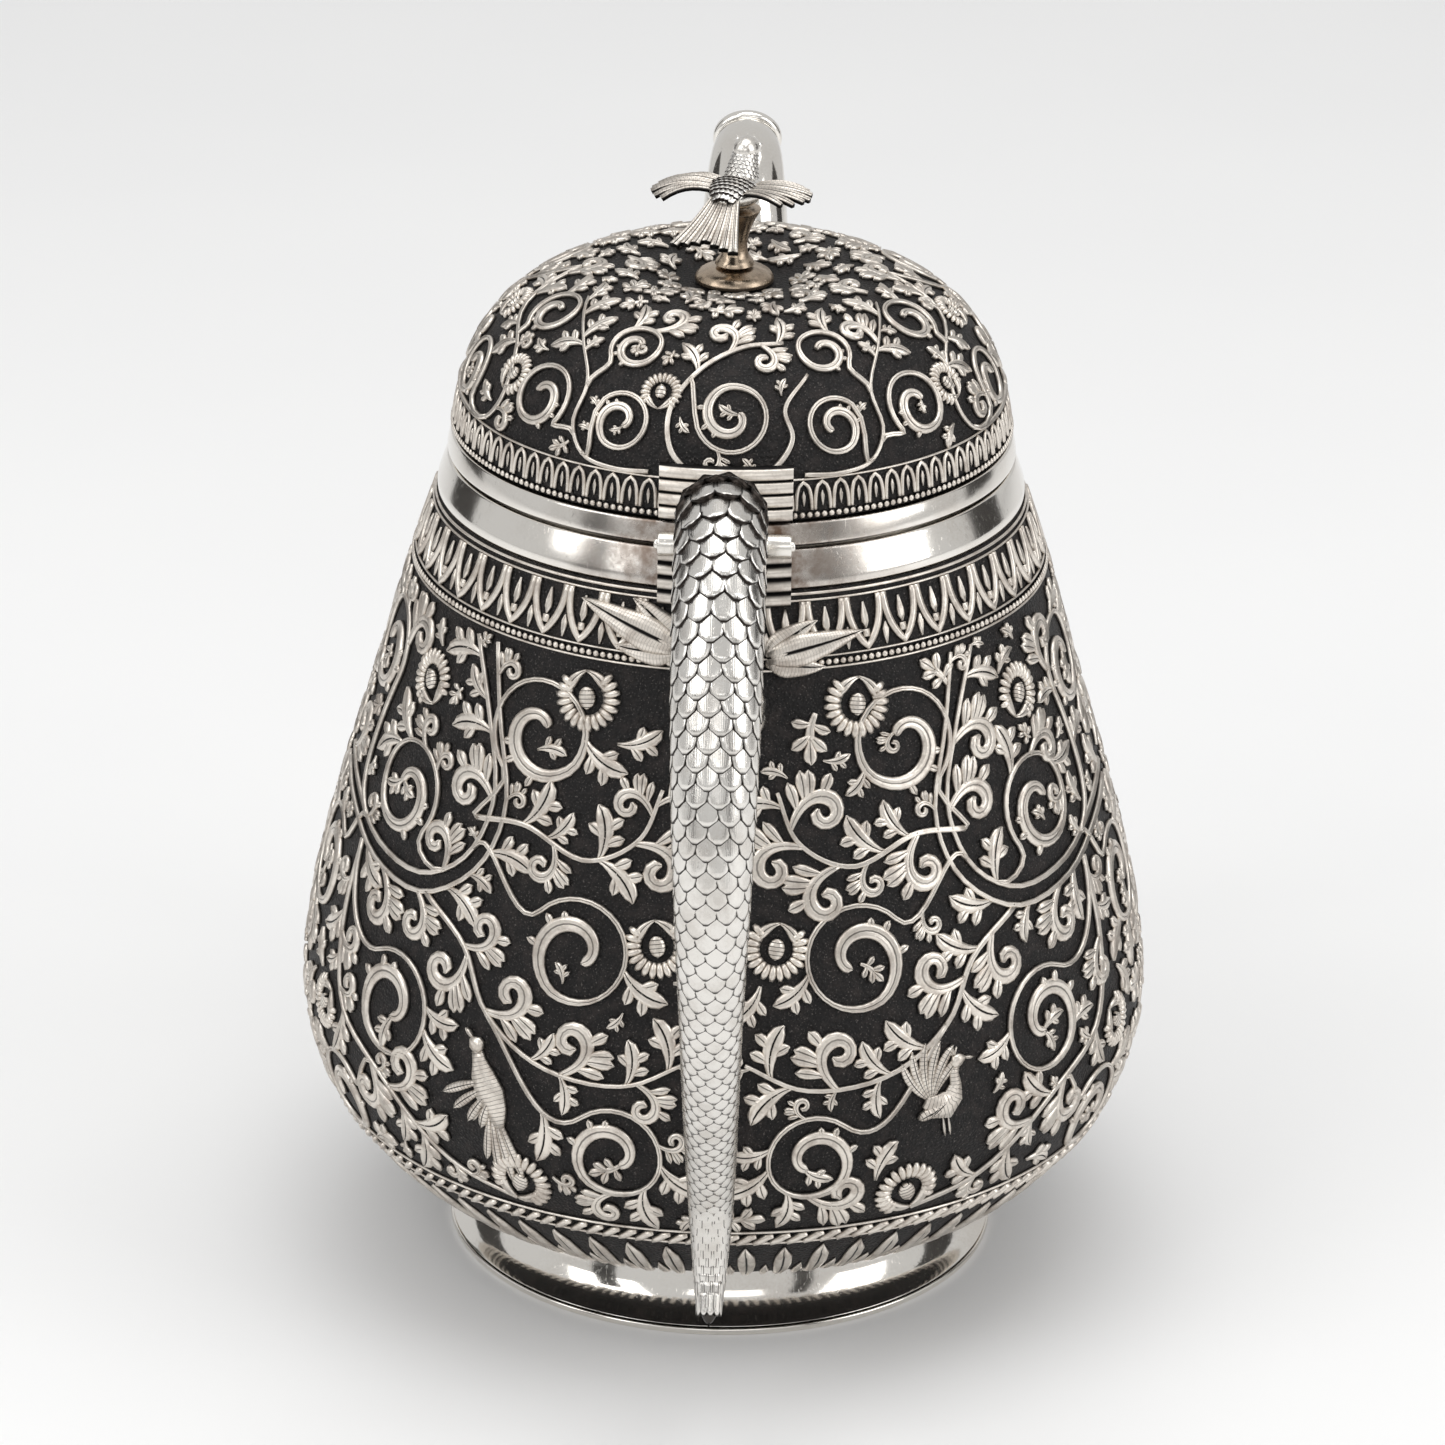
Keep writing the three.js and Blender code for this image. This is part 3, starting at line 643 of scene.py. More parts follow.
class Motif:
    """Strokes of unit size that set off along X and curl to the left, ready to be tested and laid quickly."""

    def __init__(self, strokes):
        self.strokes = strokes
        middles, sides, widths = [], [], []
        for ribbon in strokes:
            index = np.arange(len(ribbon.points))
            dense = np.linspace(0, index[-1], 2 * len(index))
            points = np.stack([np.interp(dense, index, ribbon.points[:, k]) for k in (0, 1)], axis=-1)
            ahead = np.gradient(points, axis=0)
            ahead /= np.maximum(np.linalg.norm(ahead, axis=1), 1e-9)[:, None]
            middles.append(points)
            sides.append(np.stack([-ahead[:, 1], ahead[:, 0]], axis=-1))
            widths.append(np.interp(dense, index, ribbon.width))
        self.middle, self.side = np.concatenate(middles), np.concatenate(sides)
        self.width = np.concatenate(widths)[:, None]

    @staticmethod
    def turn(points, heading, hand):
        cosine, sine = math.cos(heading), math.sin(heading)
        x, y = points[..., 0], points[..., 1] * hand
        return np.stack([x * cosine - y * sine, x * sine + y * cosine], axis=-1)

    def spots(self, heading, size, hand, margin):
        """Points all over the strokes, grown by a margin in millimetres."""
        reach = self.side * (self.width * size + margin)
        middle = self.middle * size
        return self.turn(np.concatenate([middle + reach, middle + 0.4 * reach, middle - 0.4 * reach,
                                         middle - reach]),
                         heading, hand)

    def placed(self, heading, size, hand):
        return [Ribbon(self.turn(r.points * size, heading, hand), r.width * size, r.height, r.section,
                       r.vein, r.hatch)
                for r in self.strokes]


MOTIFS = {kind.__name__: Motif(kind()) for kind in (curl_leaf, open_leaf, long_leaf, bud)}


def fringed_flower(heading, size):
    """A half-open flower: a hatched dome and a fringe of narrow petals, held by two leaves."""
    made = []
    ahead = np.array([math.cos(heading), math.sin(heading)])
    centre = ahead * size * 0.72
    petals = 17
    for k in range(petals):
        turn = heading + (k / (petals - 1) - 0.5) * 4.5
        way = np.array([math.cos(turn), math.sin(turn)])
        path, _ = sweep(centre + way * size * 0.46, turn, size * 0.46, 0, steps=5)
        made.append(Ribbon(path, size * np.array((0.06, 0.085, 0.1, 0.1, 0.055)), (0.6, 0.9, 1.0, 0.9, 0.5),
                           "flat"))
    reach = np.linspace(-1, 1, 9)
    dome = centre + reach[:, None] * size * 0.3 * ahead
    made.append(Ribbon(dome, size * 0.25 * np.sqrt(np.clip(1 - reach ** 2, 0.02, 1)), 1.0, "flat", 0, 1))
    for side in (-1, 1):
        made.append(lobe((0, 0), heading + side * 1.25, size * 0.85, size * 0.17, -side * 0.9, 0.95))
    return made


def perched_bird(facing):
    """A long-tailed bird with folded wings, looking up to one side."""
    def at(x, y):
        return (facing * x, y)

    def turned_to(angle):
        return angle if facing > 0 else math.pi - angle
    made = []
    for k, (angle, length) in enumerate(((-2.05, 10.5), (-1.9, 11.5), (-1.75, 10.0), (-1.6, 8.0))):
        made.append(lobe(at(-1.6 + 0.5 * k, -3.2), turned_to(angle), length, 0.75, facing * 0.25, 0.8, 1.0,
                         steps=10, section="flat", hatch=0.5))
    spine = np.array([at(-2.2, -5.0), at(-1.4, -2.6), at(-0.2, 0), at(1.2, 2.6), at(2.0, 4.6), at(2.4, 5.8)])
    made.append(Ribbon(spine, (0.7, 2.0, 2.7, 2.1, 1.15, 0.95), (0.8, 1.0, 1.15, 1.1, 1.0, 0.95), "flat", 0,
                       0.6))
    head = np.array([at(1.8, 6.0), at(2.3, 6.5), at(2.9, 7.0), at(3.5, 7.5)])
    made.append(Ribbon(head, (0.5, 1.25, 1.25, 0.4), 1.15, "flat"))
    made.append(lobe(at(3.2, 7.3), turned_to(0.75), 2.1, 0.36, 0, 1.0, 0.9, steps=5))
    for k, (angle, length) in enumerate(((-0.35, 8.2), (-0.6, 7.4), (-0.9, 6.2), (-1.2, 5.0))):
        made.append(lobe(at(0.6 - 0.35 * k, 1.6 - 0.8 * k), turned_to(angle), length, 0.8, -facing * 0.2,
                         1.2, 1.0,
                         steps=8, section="flat", hatch=0.7))
    for x in (-0.2, 1.0):
        made.append(lobe(at(x, -2.4), turned_to(-1.2), 3.2, 0.22, facing * 0.3, 0.6, 0, steps=5))
    return made


def strutting_bird(facing):
    """A crested bird that carries its tail high in a fan."""
    def at(x, y):
        return (facing * x, y)

    def turned_to(angle):
        return angle if facing > 0 else math.pi - angle
    made = []
    for k in range(6):
        made.append(lobe(at(-1.6, 0.6), turned_to(2.55 - 0.27 * k), 8.2 + 1.1 * math.sin(k * 0.6), 0.72,
                         -facing * 0.75, 0.85, 1.0, steps=10, section="flat", hatch=0.6))
    spine = np.array([at(-2.8, 0.8), at(-1.2, -0.2), at(0.6, -0.4), at(2.0, 0.8), at(2.4, 2.6), at(2.2, 4.2),
                      at(2.5, 5.4)])
    made.append(Ribbon(spine, (0.8, 2.0, 2.4, 1.7, 0.95, 0.75, 0.8), (0.8, 1.1, 1.15, 1.1, 1.0, 0.95, 0.9),
                       "flat", 0, 0.6))
    made.append(Ribbon([at(2.0, 5.3), at(2.6, 5.9), at(3.3, 6.2), at(4.0, 6.3)], (0.5, 1.05, 0.9, 0.3), 1.15,
                       "flat"))
    made.append(lobe(at(3.6, 6.2), turned_to(-0.15), 2.0, 0.3, 0, 1.0, 0.9, steps=5))
    for k in range(3):
        made.append(lobe(at(1.4 - 0.7 * k, 0.6 - 0.5 * k), turned_to(-2.7 - 0.12 * k), 4.2, 0.8,
                         facing * 0.2, 1.25,
                         1.0, steps=7, section="flat", hatch=0.8))
    for k in range(3):
        made.append(lobe(at(2.3, 6.4), turned_to(1.2 + 0.4 * k), 1.7, 0.2, 0, 0.7, 0, steps=4))
    for x in (0.2, 1.1):
        made.append(lobe(at(x, -1.9), turned_to(-1.45), 3.4, 0.24, 0, 0.6, 0, steps=5))
    return made


class Chasing:
    """Lays ribbons over a turned surface, keeps count of the ground that is taken, and makes the meshes."""

    CELL = 0.3

    def __init__(self, surface, low, high, seed, smallest_leaf=2.6, whole=False):
        self.surface, self.low, self.high, self.smallest_leaf = surface, low, high, smallest_leaf
        self.span = (2 if whole else 1) * math.pi * surface.reference
        self.start = -math.pi * surface.reference if whole else 0.0
        self.taken = np.zeros((int(self.span / self.CELL) + 2, int(surface.length / self.CELL) + 2), bool)
        self.random = random.Random(seed)
        self.laid = []  # (flat points, ribbon)

    def spread(self, anchor, points):
        """Flat layout points for true-millimetre offsets from an anchor."""
        points = np.asarray(points, float)
        along = anchor[1] + points[:, 1]
        stretch = self.surface.reference / self.surface.radius_at(along)
        return np.stack([anchor[0] + points[:, 0] * stretch, along], axis=-1)

    def edges(self, flat):
        """The true sideways direction at each point, as flat layout offsets for one millimetre."""
        stretch = self.surface.reference / self.surface.radius_at(flat[:, 1])
        true = np.gradient(flat, axis=0)
        true[:, 0] /= stretch
        true /= np.maximum(np.linalg.norm(true, axis=1), 1e-9)[:, None]
        return np.stack([true[:, 1] * stretch, -true[:, 0]], axis=-1)

    def cells(self, flat, width, margin):
        dense = np.linspace(0, len(flat) - 1, max(4, 2 * len(flat)))
        index = np.arange(len(flat))
        points = np.stack([np.interp(dense, index, flat[:, k]) for k in (0, 1)], axis=-1)
        reach = np.interp(dense, index, width) + margin
        sideways = self.edges(points)
        across = np.linspace(-1, 1, 5)[:, None, None]
        spots = (points[None] + across * reach[None, :, None] * sideways[None]).reshape(-1, 2)
        return spots

    def free(self, anchor, spots, root=0.9, slack=0.03):
        """Whether true-millimetre spots about an anchor, past its root, lie on open ground in the field."""
        spots = spots[np.hypot(spots[:, 0], spots[:, 1]) > root]
        along = anchor[1] + spots[:, 1]
        if along.min() < self.low or along.max() > self.high:
            return False
        across = anchor[0] + spots[:, 0] * self.surface.reference / self.surface.radius_at(along)
        if across.min() < 0.3 or across.max() > self.span - 0.3:
            return False
        return self.taken[(across / self.CELL).astype(int), (along / self.CELL).astype(int)].mean() <= slack

    def lay(self, anchor, ribbons, margin=0.3):
        for ribbon in ribbons:
            flat = self.spread(anchor, ribbon.points)
            self.laid.append((flat, ribbon))
            spots = self.cells(flat, ribbon.width, margin)
            self.mark(spots)

    def mark(self, spots):
        """Notes the ground under flat spots as taken."""
        i = np.clip((spots[:, 0] / self.CELL).astype(int), 0, self.taken.shape[0] - 1)
        j = np.clip((spots[:, 1] / self.CELL).astype(int), 0, self.taken.shape[1] - 1)
        self.taken[i, j] = True

    def reserve(self, anchor, radius):
        """Keeps a round patch clear."""
        turn = np.linspace(0, 2 * math.pi, 60)
        for share in np.linspace(0.05, 1, 24):
            spots = self.spread(anchor, np.stack([np.cos(turn), np.sin(turn)], axis=-1) * radius * share)
            self.mark(spots)

    def stem(self, flat, width=0.46, height=0.8, taper=(1.0, 1.0)):
        """A stem along flat layout points."""
        share = np.linspace(0, 1, len(flat))
        ribbon = Ribbon(np.zeros((len(flat), 2)), width * (taper[0] + (taper[1] - taper[0]) * share), height,
                        "stem", 0.0)
        ribbon.points = flat - flat[0]
        self.laid.append((flat, ribbon))
        spots = self.cells(flat, ribbon.width, 0.38)
        self.mark(spots)
        return flat

    def scroll(self, centre, radius, entry, hand, source=None):
        """A stem that comes round almost in a circle and rolls in to a thick, combed leaf."""
        first, last = 4.6, 9.6
        turn = np.linspace(0, last, 46)
        shrink = np.where(turn < first, 1 - 0.12 * turn / first,
                          0.88 - 0.68 * np.clip((turn - first) / (last - first), 0, 1) ** 0.85)
        angle = entry + hand * turn
        circle = np.stack([np.cos(angle), np.sin(angle)], axis=-1) * (radius * shrink)[:, None]
        flat = self.spread(centre, circle)
        if source is not None:
            leave = entry + hand * math.pi / 2
            stretch = self.surface.reference / self.surface.radius_at(flat[0, 1])
            way = np.array([math.cos(leave) * stretch, math.sin(leave)])
            gap = float(np.hypot(*(flat[0] - source[:2])))
            pull = 0.42 * gap
            from_way = np.array([math.cos(source[2]), math.sin(source[2])])
            control = (np.array(source[:2]), np.array(source[:2]) + from_way * pull, flat[0] - way * pull,
                       flat[0])
            share = np.linspace(0, 1, max(6, int(gap / 1.3)))[:-1, None]
            lead = sum(w * c for w, c in zip(
                ((1 - share) ** 3, 3 * share * (1 - share) ** 2, 3 * share ** 2 * (1 - share), share ** 3),
                control))
            lead_count = len(lead)
            flat = np.vstack([lead, flat])
        else:
            lead_count = 0
        grown = np.concatenate([np.zeros(lead_count), turn])
        swell = np.clip((grown - first + 1.2) / 2.4, 0, 1) * (1 - 0.42 * np.clip((grown - 6.9) / 1.6, 0, 1))
        width = 0.44 + (0.15 * radius - 0.3) * swell
        width *= np.sqrt(np.clip(1 - np.clip((grown - 9.2) / 0.4, 0, 1) ** 2, 0.05, 1))
        ribbon = Ribbon(flat - flat[0], width, 0.78 + 0.12 * np.clip((grown - first) / 2, 0, 1), "leaf", 0.7)
        self.laid.append((flat, ribbon))
        spots = self.cells(flat, ribbon.width, 0.38)
        self.mark(spots)
        for place, size in ((5.6, 0.3), (6.2, 0.3), (6.8, 0.24)):
            k = lead_count + int(place / last * 45)
            heading = angle[k - lead_count] + hand * math.pi / 2 - hand * 0.9
            self.lay(tuple(flat[k]), [lobe((0, 0), heading, radius * size, radius * 0.085, -hand * 0.3)])
        ring = flat[lead_count:]
        for place, size, kind in ((1.7, 0.72, "curl_leaf"), (3.2, 0.62, "open_leaf"),
                                  (4.4, 0.55, "long_leaf"),
                                  (0.6, 0.5, "bud")):
            k = int(place / last * 45)
            inward = angle[k] + hand * math.pi / 2 + hand * 0.75
            for scale in (1.0, 0.8, 0.62):
                if self.put(kind, tuple(ring[k]), inward, radius * size * scale, hand, 0.05):
                    break
        return flat

    def put(self, kind, point, heading, size, hand, slack=0.02, margin=0.12, root=0.9):
        """Lays a motif if there is room for it."""
        motif = MOTIFS[kind]
        if not self.free(point, motif.spots(heading, size, hand, margin), root, slack):
            return False
        self.lay(point, motif.placed(heading, size, hand))
        return True

    def sprout(self, flat, sizes, spacing=1.7):
        """Tries a leaf on each side of a stem at every step, the largest that fits."""
        steps = np.linalg.norm(np.diff(flat, axis=0), axis=1)
        travelled = np.concatenate([[0], np.cumsum(steps)])
        for distance in np.arange(1.0, travelled[-1], spacing):
            point = [float(np.interp(distance, travelled, flat[:, k])) for k in (0, 1)]
            ahead = [float(np.interp(distance + 0.6, travelled, flat[:, k])) for k in (0, 1)]
            stretch = self.surface.reference / self.surface.radius_at(point[1])
            heading = math.atan2(ahead[1] - point[1], (ahead[0] - point[0]) / stretch)
            sides = [-1, 1]
            self.random.shuffle(sides)
            for side in sides:
                self.try_leaf(point, heading + side * self.random.uniform(0.55, 0.85), side, sizes)

    def open_ahead(self, point, heading, size):
        stretch = self.surface.reference / self.surface.radius_at(point[1])
        for share in (0.5, 0.85):
            x = point[0] + math.cos(heading) * size * share * stretch
            y = point[1] + math.sin(heading) * size * share
            if not (0.3 < x < self.span - 0.3 and self.low < y < self.high):
                return False
            if self.taken[int(x / self.CELL), int(y / self.CELL)]:
                return False
        return True

    def try_leaf(self, point, heading, hand, sizes, slack=0.02):
        kinds = ["curl_leaf", "open_leaf", "long_leaf", "curl_leaf"]
        self.random.shuffle(kinds)
        for size in sizes:
            if not self.open_ahead(point, heading, size):
                continue
            for kind in kinds if size > self.smallest_leaf else ("bud", "long_leaf"):
                if self.put(kind, point, heading, size, hand if self.random.random() < 0.75 else -hand,
                            slack):
                    return True
        return False

    def fill(self, tries, sizes):
        """Puts loose sprigs on whatever open ground is left."""
        for size in sizes:
            for _ in range(tries):
                point = (self.random.uniform(0.6, self.span - 0.6), self.random.uniform(self.low, self.high))
                i, j = int(point[0] / self.CELL), int(point[1] / self.CELL)
                heading = self.random.uniform(-math.pi, math.pi)
                hand = self.random.choice((-1, 1))
                if self.taken[i, j] or not self.open_ahead(point, heading, size):
                    continue
                kind = self.random.choice(("curl_leaf", "open_leaf", "long_leaf"))
                self.put(kind, point, heading, size, hand, 0.0, 0.05, 0.0)

    def build(self, name, material, body, side, shares=4):
        """Meshes of every ribbon, split by place round the pot; side -1 lays them left of the handle."""
        parts = [[] for _ in range(shares)]
        for flat, ribbon in self.laid:
            place = min(max(flat[:, 0].mean() / self.span, 0), 0.999)
            parts[int(place * shares)].append((flat, ribbon, side))
        for number, part in enumerate(parts):
            made = self.mesh_only(f"{name}_{number + 1}", part, material)
            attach(made, body)

    def mesh_only(self, name, part, material):
        """One mesh of (flat points, ribbon, side) strokes."""
        points, faces, relief, vein, hatch, uv = [], [], [], [], [], []
        count = 0
        for flat, ribbon, side in part:
            section = np.array(SECTIONS[ribbon.section])
            flat = (flat + np.array([self.start, 0.0])) * np.array([side, 1.0])
            sideways = self.edges(flat)
            rows, columns = len(flat), len(section)
            spots = flat[:, None, :] + section[None, :, :1] * ribbon.width[:, None, None] * sideways[:, None,
                                                                                                     :]
            lift = ribbon.height[:, None] * section[None, :, 1]
            points.append(self.surface.place(spots[..., 0], np.clip(spots[..., 1], 0, self.surface.length),
                                             lift).reshape(-1, 3))
            quads = grid_faces(rows, columns, count, wrap_columns=True)
            faces.extend(quads.tolist())
            faces.append(list(range(count + columns - 1, count - 1, -1)))
            last = count + (rows - 1) * columns
            faces.append(list(range(last, last + columns)))
            relief.append(np.clip(np.broadcast_to(section[:, 1], (rows, columns)), 0, 1).ravel())
            vein.append(np.full(rows * columns, ribbon.vein))
            hatch.append(np.full(rows * columns, ribbon.hatch))
            travelled = np.concatenate([[0], np.cumsum(np.linalg.norm(np.diff(flat, axis=0), axis=1))])
            uv.append(np.stack([np.broadcast_to(section[:, 0], (rows, columns)),
                                np.broadcast_to(travelled[:, None], (rows, columns))], axis=-1).reshape(-1,
                                                                                                        2))
            count += rows * columns
        return mesh_object(name, np.concatenate(points), faces, material,
                           (("relief", np.concatenate(relief)), ("vein", np.concatenate(vein)),
                            ("hatch", np.concatenate(hatch))), np.concatenate(uv))


# ---- The layouts --------------------------------------------------------------------------------------

def path_on(surface, stops, steps=30):
    """A smooth flat path through (degrees from the handle, height) stops."""
    flat = [(math.radians(turn) * surface.reference, surface.along_at(height), 0) for turn, height in stops]
    return catmull_rom(flat, np.linspace(0, 1, steps))[:, :2]


# Each scroll: degrees from the handle, height, radius, where the stem arrives, hand, and the stem's source.
BODY_SCROLLS = (
    (31, 98, 8.2, -50, 1, (40, 84, 80)), (57, 83, 7.8, 215, -1, (45, 74, 40)),
    (20, 69, 8.0, 40, 1, (40, 79, 170)), (50, 53, 8.4, 60, 1, (66, 72, -120)),
    (13, 40, 7.2, 50, 1, (31, 58, 230)), (78, 98, 7.6, 200, -1, (61, 93, 60)),
    (79, 64, 8.0, 130, -1, (68, 75, 20)), (63, 33, 7.0, 140, -1, (52, 42, -60)),
)
BODY_TRUNKS = (
    ((84, 80), (72, 77), (60, 73.5), (48, 73.5), (40, 79), (37.5, 88), (42, 99), (48, 108.5)),
    ((84, 77.5), (72, 74.5), (60, 71), (47, 71), (37.5, 78), (35, 87), (39.5, 99), (43, 108.5)),
    ((40, 84), (31, 85), (20, 82), (12, 86), (9, 93)),
    ((47, 71), (38, 66), (33, 58), (24, 52), (12, 51), (4, 55)),
    ((66, 72), (66, 60), (62, 48), (50, 41), (38, 32), (28, 29)),
)
BODY_FLOWERS = ((24, 108, -100, 5.4), (9, 75, -100, 5.2), (56, 96, 60, 5.0), (28, 29, 110, 5.4),
                (66, 48, -50, 4.6))
BIRD_SPOT = (31, 46, 8.0)

LID_SCROLLS = (
    (24, 142.5, 4.2, 40, 1, (31, 137.4, 170)), (46, 143, 5.0, 215, -1, (34, 140, 30)),
    (78, 141, 4.8, 200, -1, (62, 137, 30)), (64, 151, 4.4, -60, 1, (70, 147, 90)),
    (27, 150.6, 4.0, -40, 1, (35, 146, 100)),
)
LID_FRONT_TRUNKS = (((-7, 136.4), (-12, 140), (-13, 145), (-7, 149.4), (4, 151.4), (16, 151.6)),
                    ((7, 136.4), (11, 138.4), (14, 141.5), (13, 145), (20, 148.5)))
LID_FRONT_SCROLLS = ((1, 144.2, 5.2, 200, 1, 70),)
LID_TRUNKS = (
    ((16, 136.6), (24, 136.4), (31, 137.4), (35, 141), (35, 146), (44, 150), (60, 153)),
    ((90, 137), (76, 136.5), (62, 137), (58, 141), (62, 146), (80, 150), (90, 153.5)),
)
LID_FLOWERS = ((16, 144.6, 90, 3.4), (60, 142, 120, 3.6), (86, 147, 90, 3.6))


def lay_out(chasing, trunks, scrolls, flowers, sizes, stem_width, quarters=((0, 1), (180, -1)), stems=()):
    """Trunks, then scrolls, flowers and leaves; a quarter is where its angles start and their sign."""
    surface = chasing.surface
    stems, trunk_paths = list(stems), []

    def branch(spot, way):
        """Where the nearest trunk passes a spot, and its direction there, nearest to a wished one."""
        points = np.concatenate(trunk_paths)
        ways = np.concatenate([np.gradient(path, axis=0) for path in trunk_paths])
        k = int(np.argmin(np.hypot(*(points - np.array(spot)).T)))
        angle = math.atan2(ways[k, 1], ways[k, 0])
        if math.cos(angle - way) < 0:
            angle += math.pi
        return (points[k, 0], points[k, 1], angle)

    for base, sign in quarters:
        def turn(degrees):
            return base + sign * degrees

        def heading(degrees):
            return math.radians(degrees if sign > 0 else 180 - degrees)
        for stops in trunks:
            flat = path_on(surface, [(turn(a), z) for a, z in stops])
            trunk_paths.append(flat)
            stems.append(chasing.stem(flat, stem_width, 0.8, (1.15, 0.75)))
        for place, height, radius, entry, hand, source in scrolls:
            centre = (math.radians(turn(place)) * surface.reference, surface.along_at(height))
            start = branch((math.radians(turn(source[0])) * surface.reference, surface.along_at(source[1])),
                           heading(source[2]))
            jitter = 1 + chasing.random.uniform(-0.04, 0.03)
            stems.append(chasing.scroll(centre, radius * jitter, heading(entry), hand * sign, start))
        for place, height, way, size in flowers:
            anchor = (math.radians(turn(place)) * surface.reference, surface.along_at(height))
            flower = Motif(fringed_flower(heading(way), size))
            if chasing.free(anchor, flower.spots(0, 1, 1, 0.0), 1.5, 0.15):
                chasing.lay(anchor, flower.strokes)
    for stem in stems:
        chasing.sprout(stem, sizes)
    laid = list(chasing.laid)
    for flat, ribbon in laid[::3]:
        if ribbon.section == "leaf" and ribbon.vein < 0.75 and len(flat) > 20:
            chasing.sprout(flat, sizes[2:], 2.2)
    chasing.fill(3000, sizes[1:-1])


# ---- Geometry Nodes -----------------------------------------------------------------------------------

def node_tree(name, inputs):
    """An empty Geometry Nodes tree with named inputs, as (graph, its inputs, a function that ends it)."""
    tree = bpy.data.node_groups.new(name, "GeometryNodeTree")
    tree.interface.new_socket("Geometry", in_out="INPUT", socket_type="NodeSocketGeometry")
    for label, kind, default in inputs:
        made = tree.interface.new_socket(label, in_out="INPUT", socket_type=kind)
        if default is not None:
            made.default_value = default
    tree.interface.new_socket("Geometry", in_out="OUTPUT", socket_type="NodeSocketGeometry")
    graph = Graph(tree)
    entry = graph.node("NodeGroupInput").outputs

    def end(instances):
        realized = graph.node("GeometryNodeRealizeInstances", {0: instances}).outputs[0]
        dressed = graph.node("GeometryNodeSetMaterial", {"Geometry": realized, "Material": entry["Material"]})
        tree.links.new(dressed.outputs[0], graph.node("NodeGroupOutput").inputs[0])
        return tree
    return graph, entry, end


def ring_tree():
    """Copies of a unit round an upright axis, evenly spaced."""
    name = "Ring of Copies"
    if name in bpy.data.node_groups:
        return bpy.data.node_groups[name]
    graph, entry, end = node_tree(name, (
        ("Unit", "NodeSocketObject", None), ("Count", "NodeSocketInt", 12), ("Phase", "NodeSocketFloat", 0.0),
        ("Material", "NodeSocketMaterial", None)))
    unit = graph.node("GeometryNodeObjectInfo", {"Object": entry["Unit"]}).outputs["Geometry"]
    spots = graph.node("GeometryNodePoints", {"Count": entry["Count"]}).outputs[0]
    index = graph.node("GeometryNodeInputIndex").outputs[0]
    step = graph.math("DIVIDE", 2 * math.pi, entry["Count"])
    turn = graph.math("MULTIPLY", graph.math("ADD", index, entry["Phase"]), step)
    rotation = graph.node("ShaderNodeCombineXYZ", {"Z": turn}).outputs[0]
    return end(graph.node("GeometryNodeInstanceOnPoints", {
        "Points": spots, "Instance": unit, "Rotation": rotation}).outputs[0])


def scatter_tree():
    """Copies of a unit on the points of a mesh, turned and sized by the attributes turned and size."""
    name = "Copies on Points"
    if name in bpy.data.node_groups:
        return bpy.data.node_groups[name]
    graph, entry, end = node_tree(name, (
        ("Unit", "NodeSocketObject", None), ("Material", "NodeSocketMaterial", None)))
    unit = graph.node("GeometryNodeObjectInfo", {"Object": entry["Unit"]}).outputs["Geometry"]
    turned_by = graph.node("GeometryNodeInputNamedAttribute", {"Name": "turned"}, data_type="FLOAT_VECTOR")
    size = graph.node("GeometryNodeInputNamedAttribute", {"Name": "size"}, data_type="FLOAT_VECTOR")
    return end(graph.node("GeometryNodeInstanceOnPoints", {
        "Points": entry["Geometry"], "Instance": unit, "Rotation": turned_by.outputs[0],
        "Scale": size.outputs[0]}).outputs[0])


def grown_from(name, tree, inputs, carrier, body):
    """Runs a tree on a carrier mesh and keeps the result as a plain mesh."""
    carrier_object = bpy.data.objects.new(name, carrier)
    bpy.context.scene.collection.objects.link(carrier_object)
    modifier = carrier_object.modifiers.new("Copies", "NODES")
    modifier.node_group = tree
    sockets = {item.name: item.identifier for item in tree.interface.items_tree
               if getattr(item, "in_out", "") == "INPUT"}
    for label, value in inputs.items():
        modifier[sockets[label]] = value
    evaluated = carrier_object.evaluated_get(bpy.context.evaluated_depsgraph_get())
    mesh = bpy.data.meshes.new_from_object(evaluated)
    carrier_object.modifiers.clear()
    carrier_object.data = mesh
    mesh.polygons.foreach_set("use_smooth", np.ones(len(mesh.polygons), bool))
    mesh.update()
    bpy.data.objects.remove(inputs["Unit"])
    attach(carrier_object, body)
    return carrier_object


def ring_of(name, unit, count, material, body, phase=0.0):
    carrier = bpy.data.meshes.new(name)
    return grown_from(name, ring_tree(), {"Unit": unit, "Count": count, "Phase": phase, "Material": material},
                      carrier, body)


def scattered(name, unit, spots, frames, sizes, material, body):
    """Copies of a unit at spots in millimetres, each with its own frame (a 3x3 array of columns) and size."""
    carrier = bpy.data.meshes.new(name)
    carrier.vertices.add(len(spots))
    carrier.vertices.foreach_set("co", (np.asarray(spots) * MM).astype(np.float32).ravel())
    angles = [Matrix(f).to_euler() for f in frames]
    for label, values in (("turned", [tuple(a) for a in angles]), ("size", np.asarray(sizes) * MM)):
        layer = carrier.attributes.new(label, "FLOAT_VECTOR", "POINT")
        layer.data.foreach_set("vector", np.asarray(values, np.float32).ravel())
    made = grown_from(name, scatter_tree(), {"Unit": unit, "Material": material}, carrier, body)
    return made


def unit_of_ribbons(name, surface, strokes, material):
    """One repeat of a band: ribbons laid about the handle plane, kept as a loose object."""
    easel = Chasing(surface, 0, surface.length, 1)
    laid = [(easel.spread((0, 0), ribbon.points), ribbon, 1) for ribbon in strokes]
    return easel.mesh_only(name, laid, material)


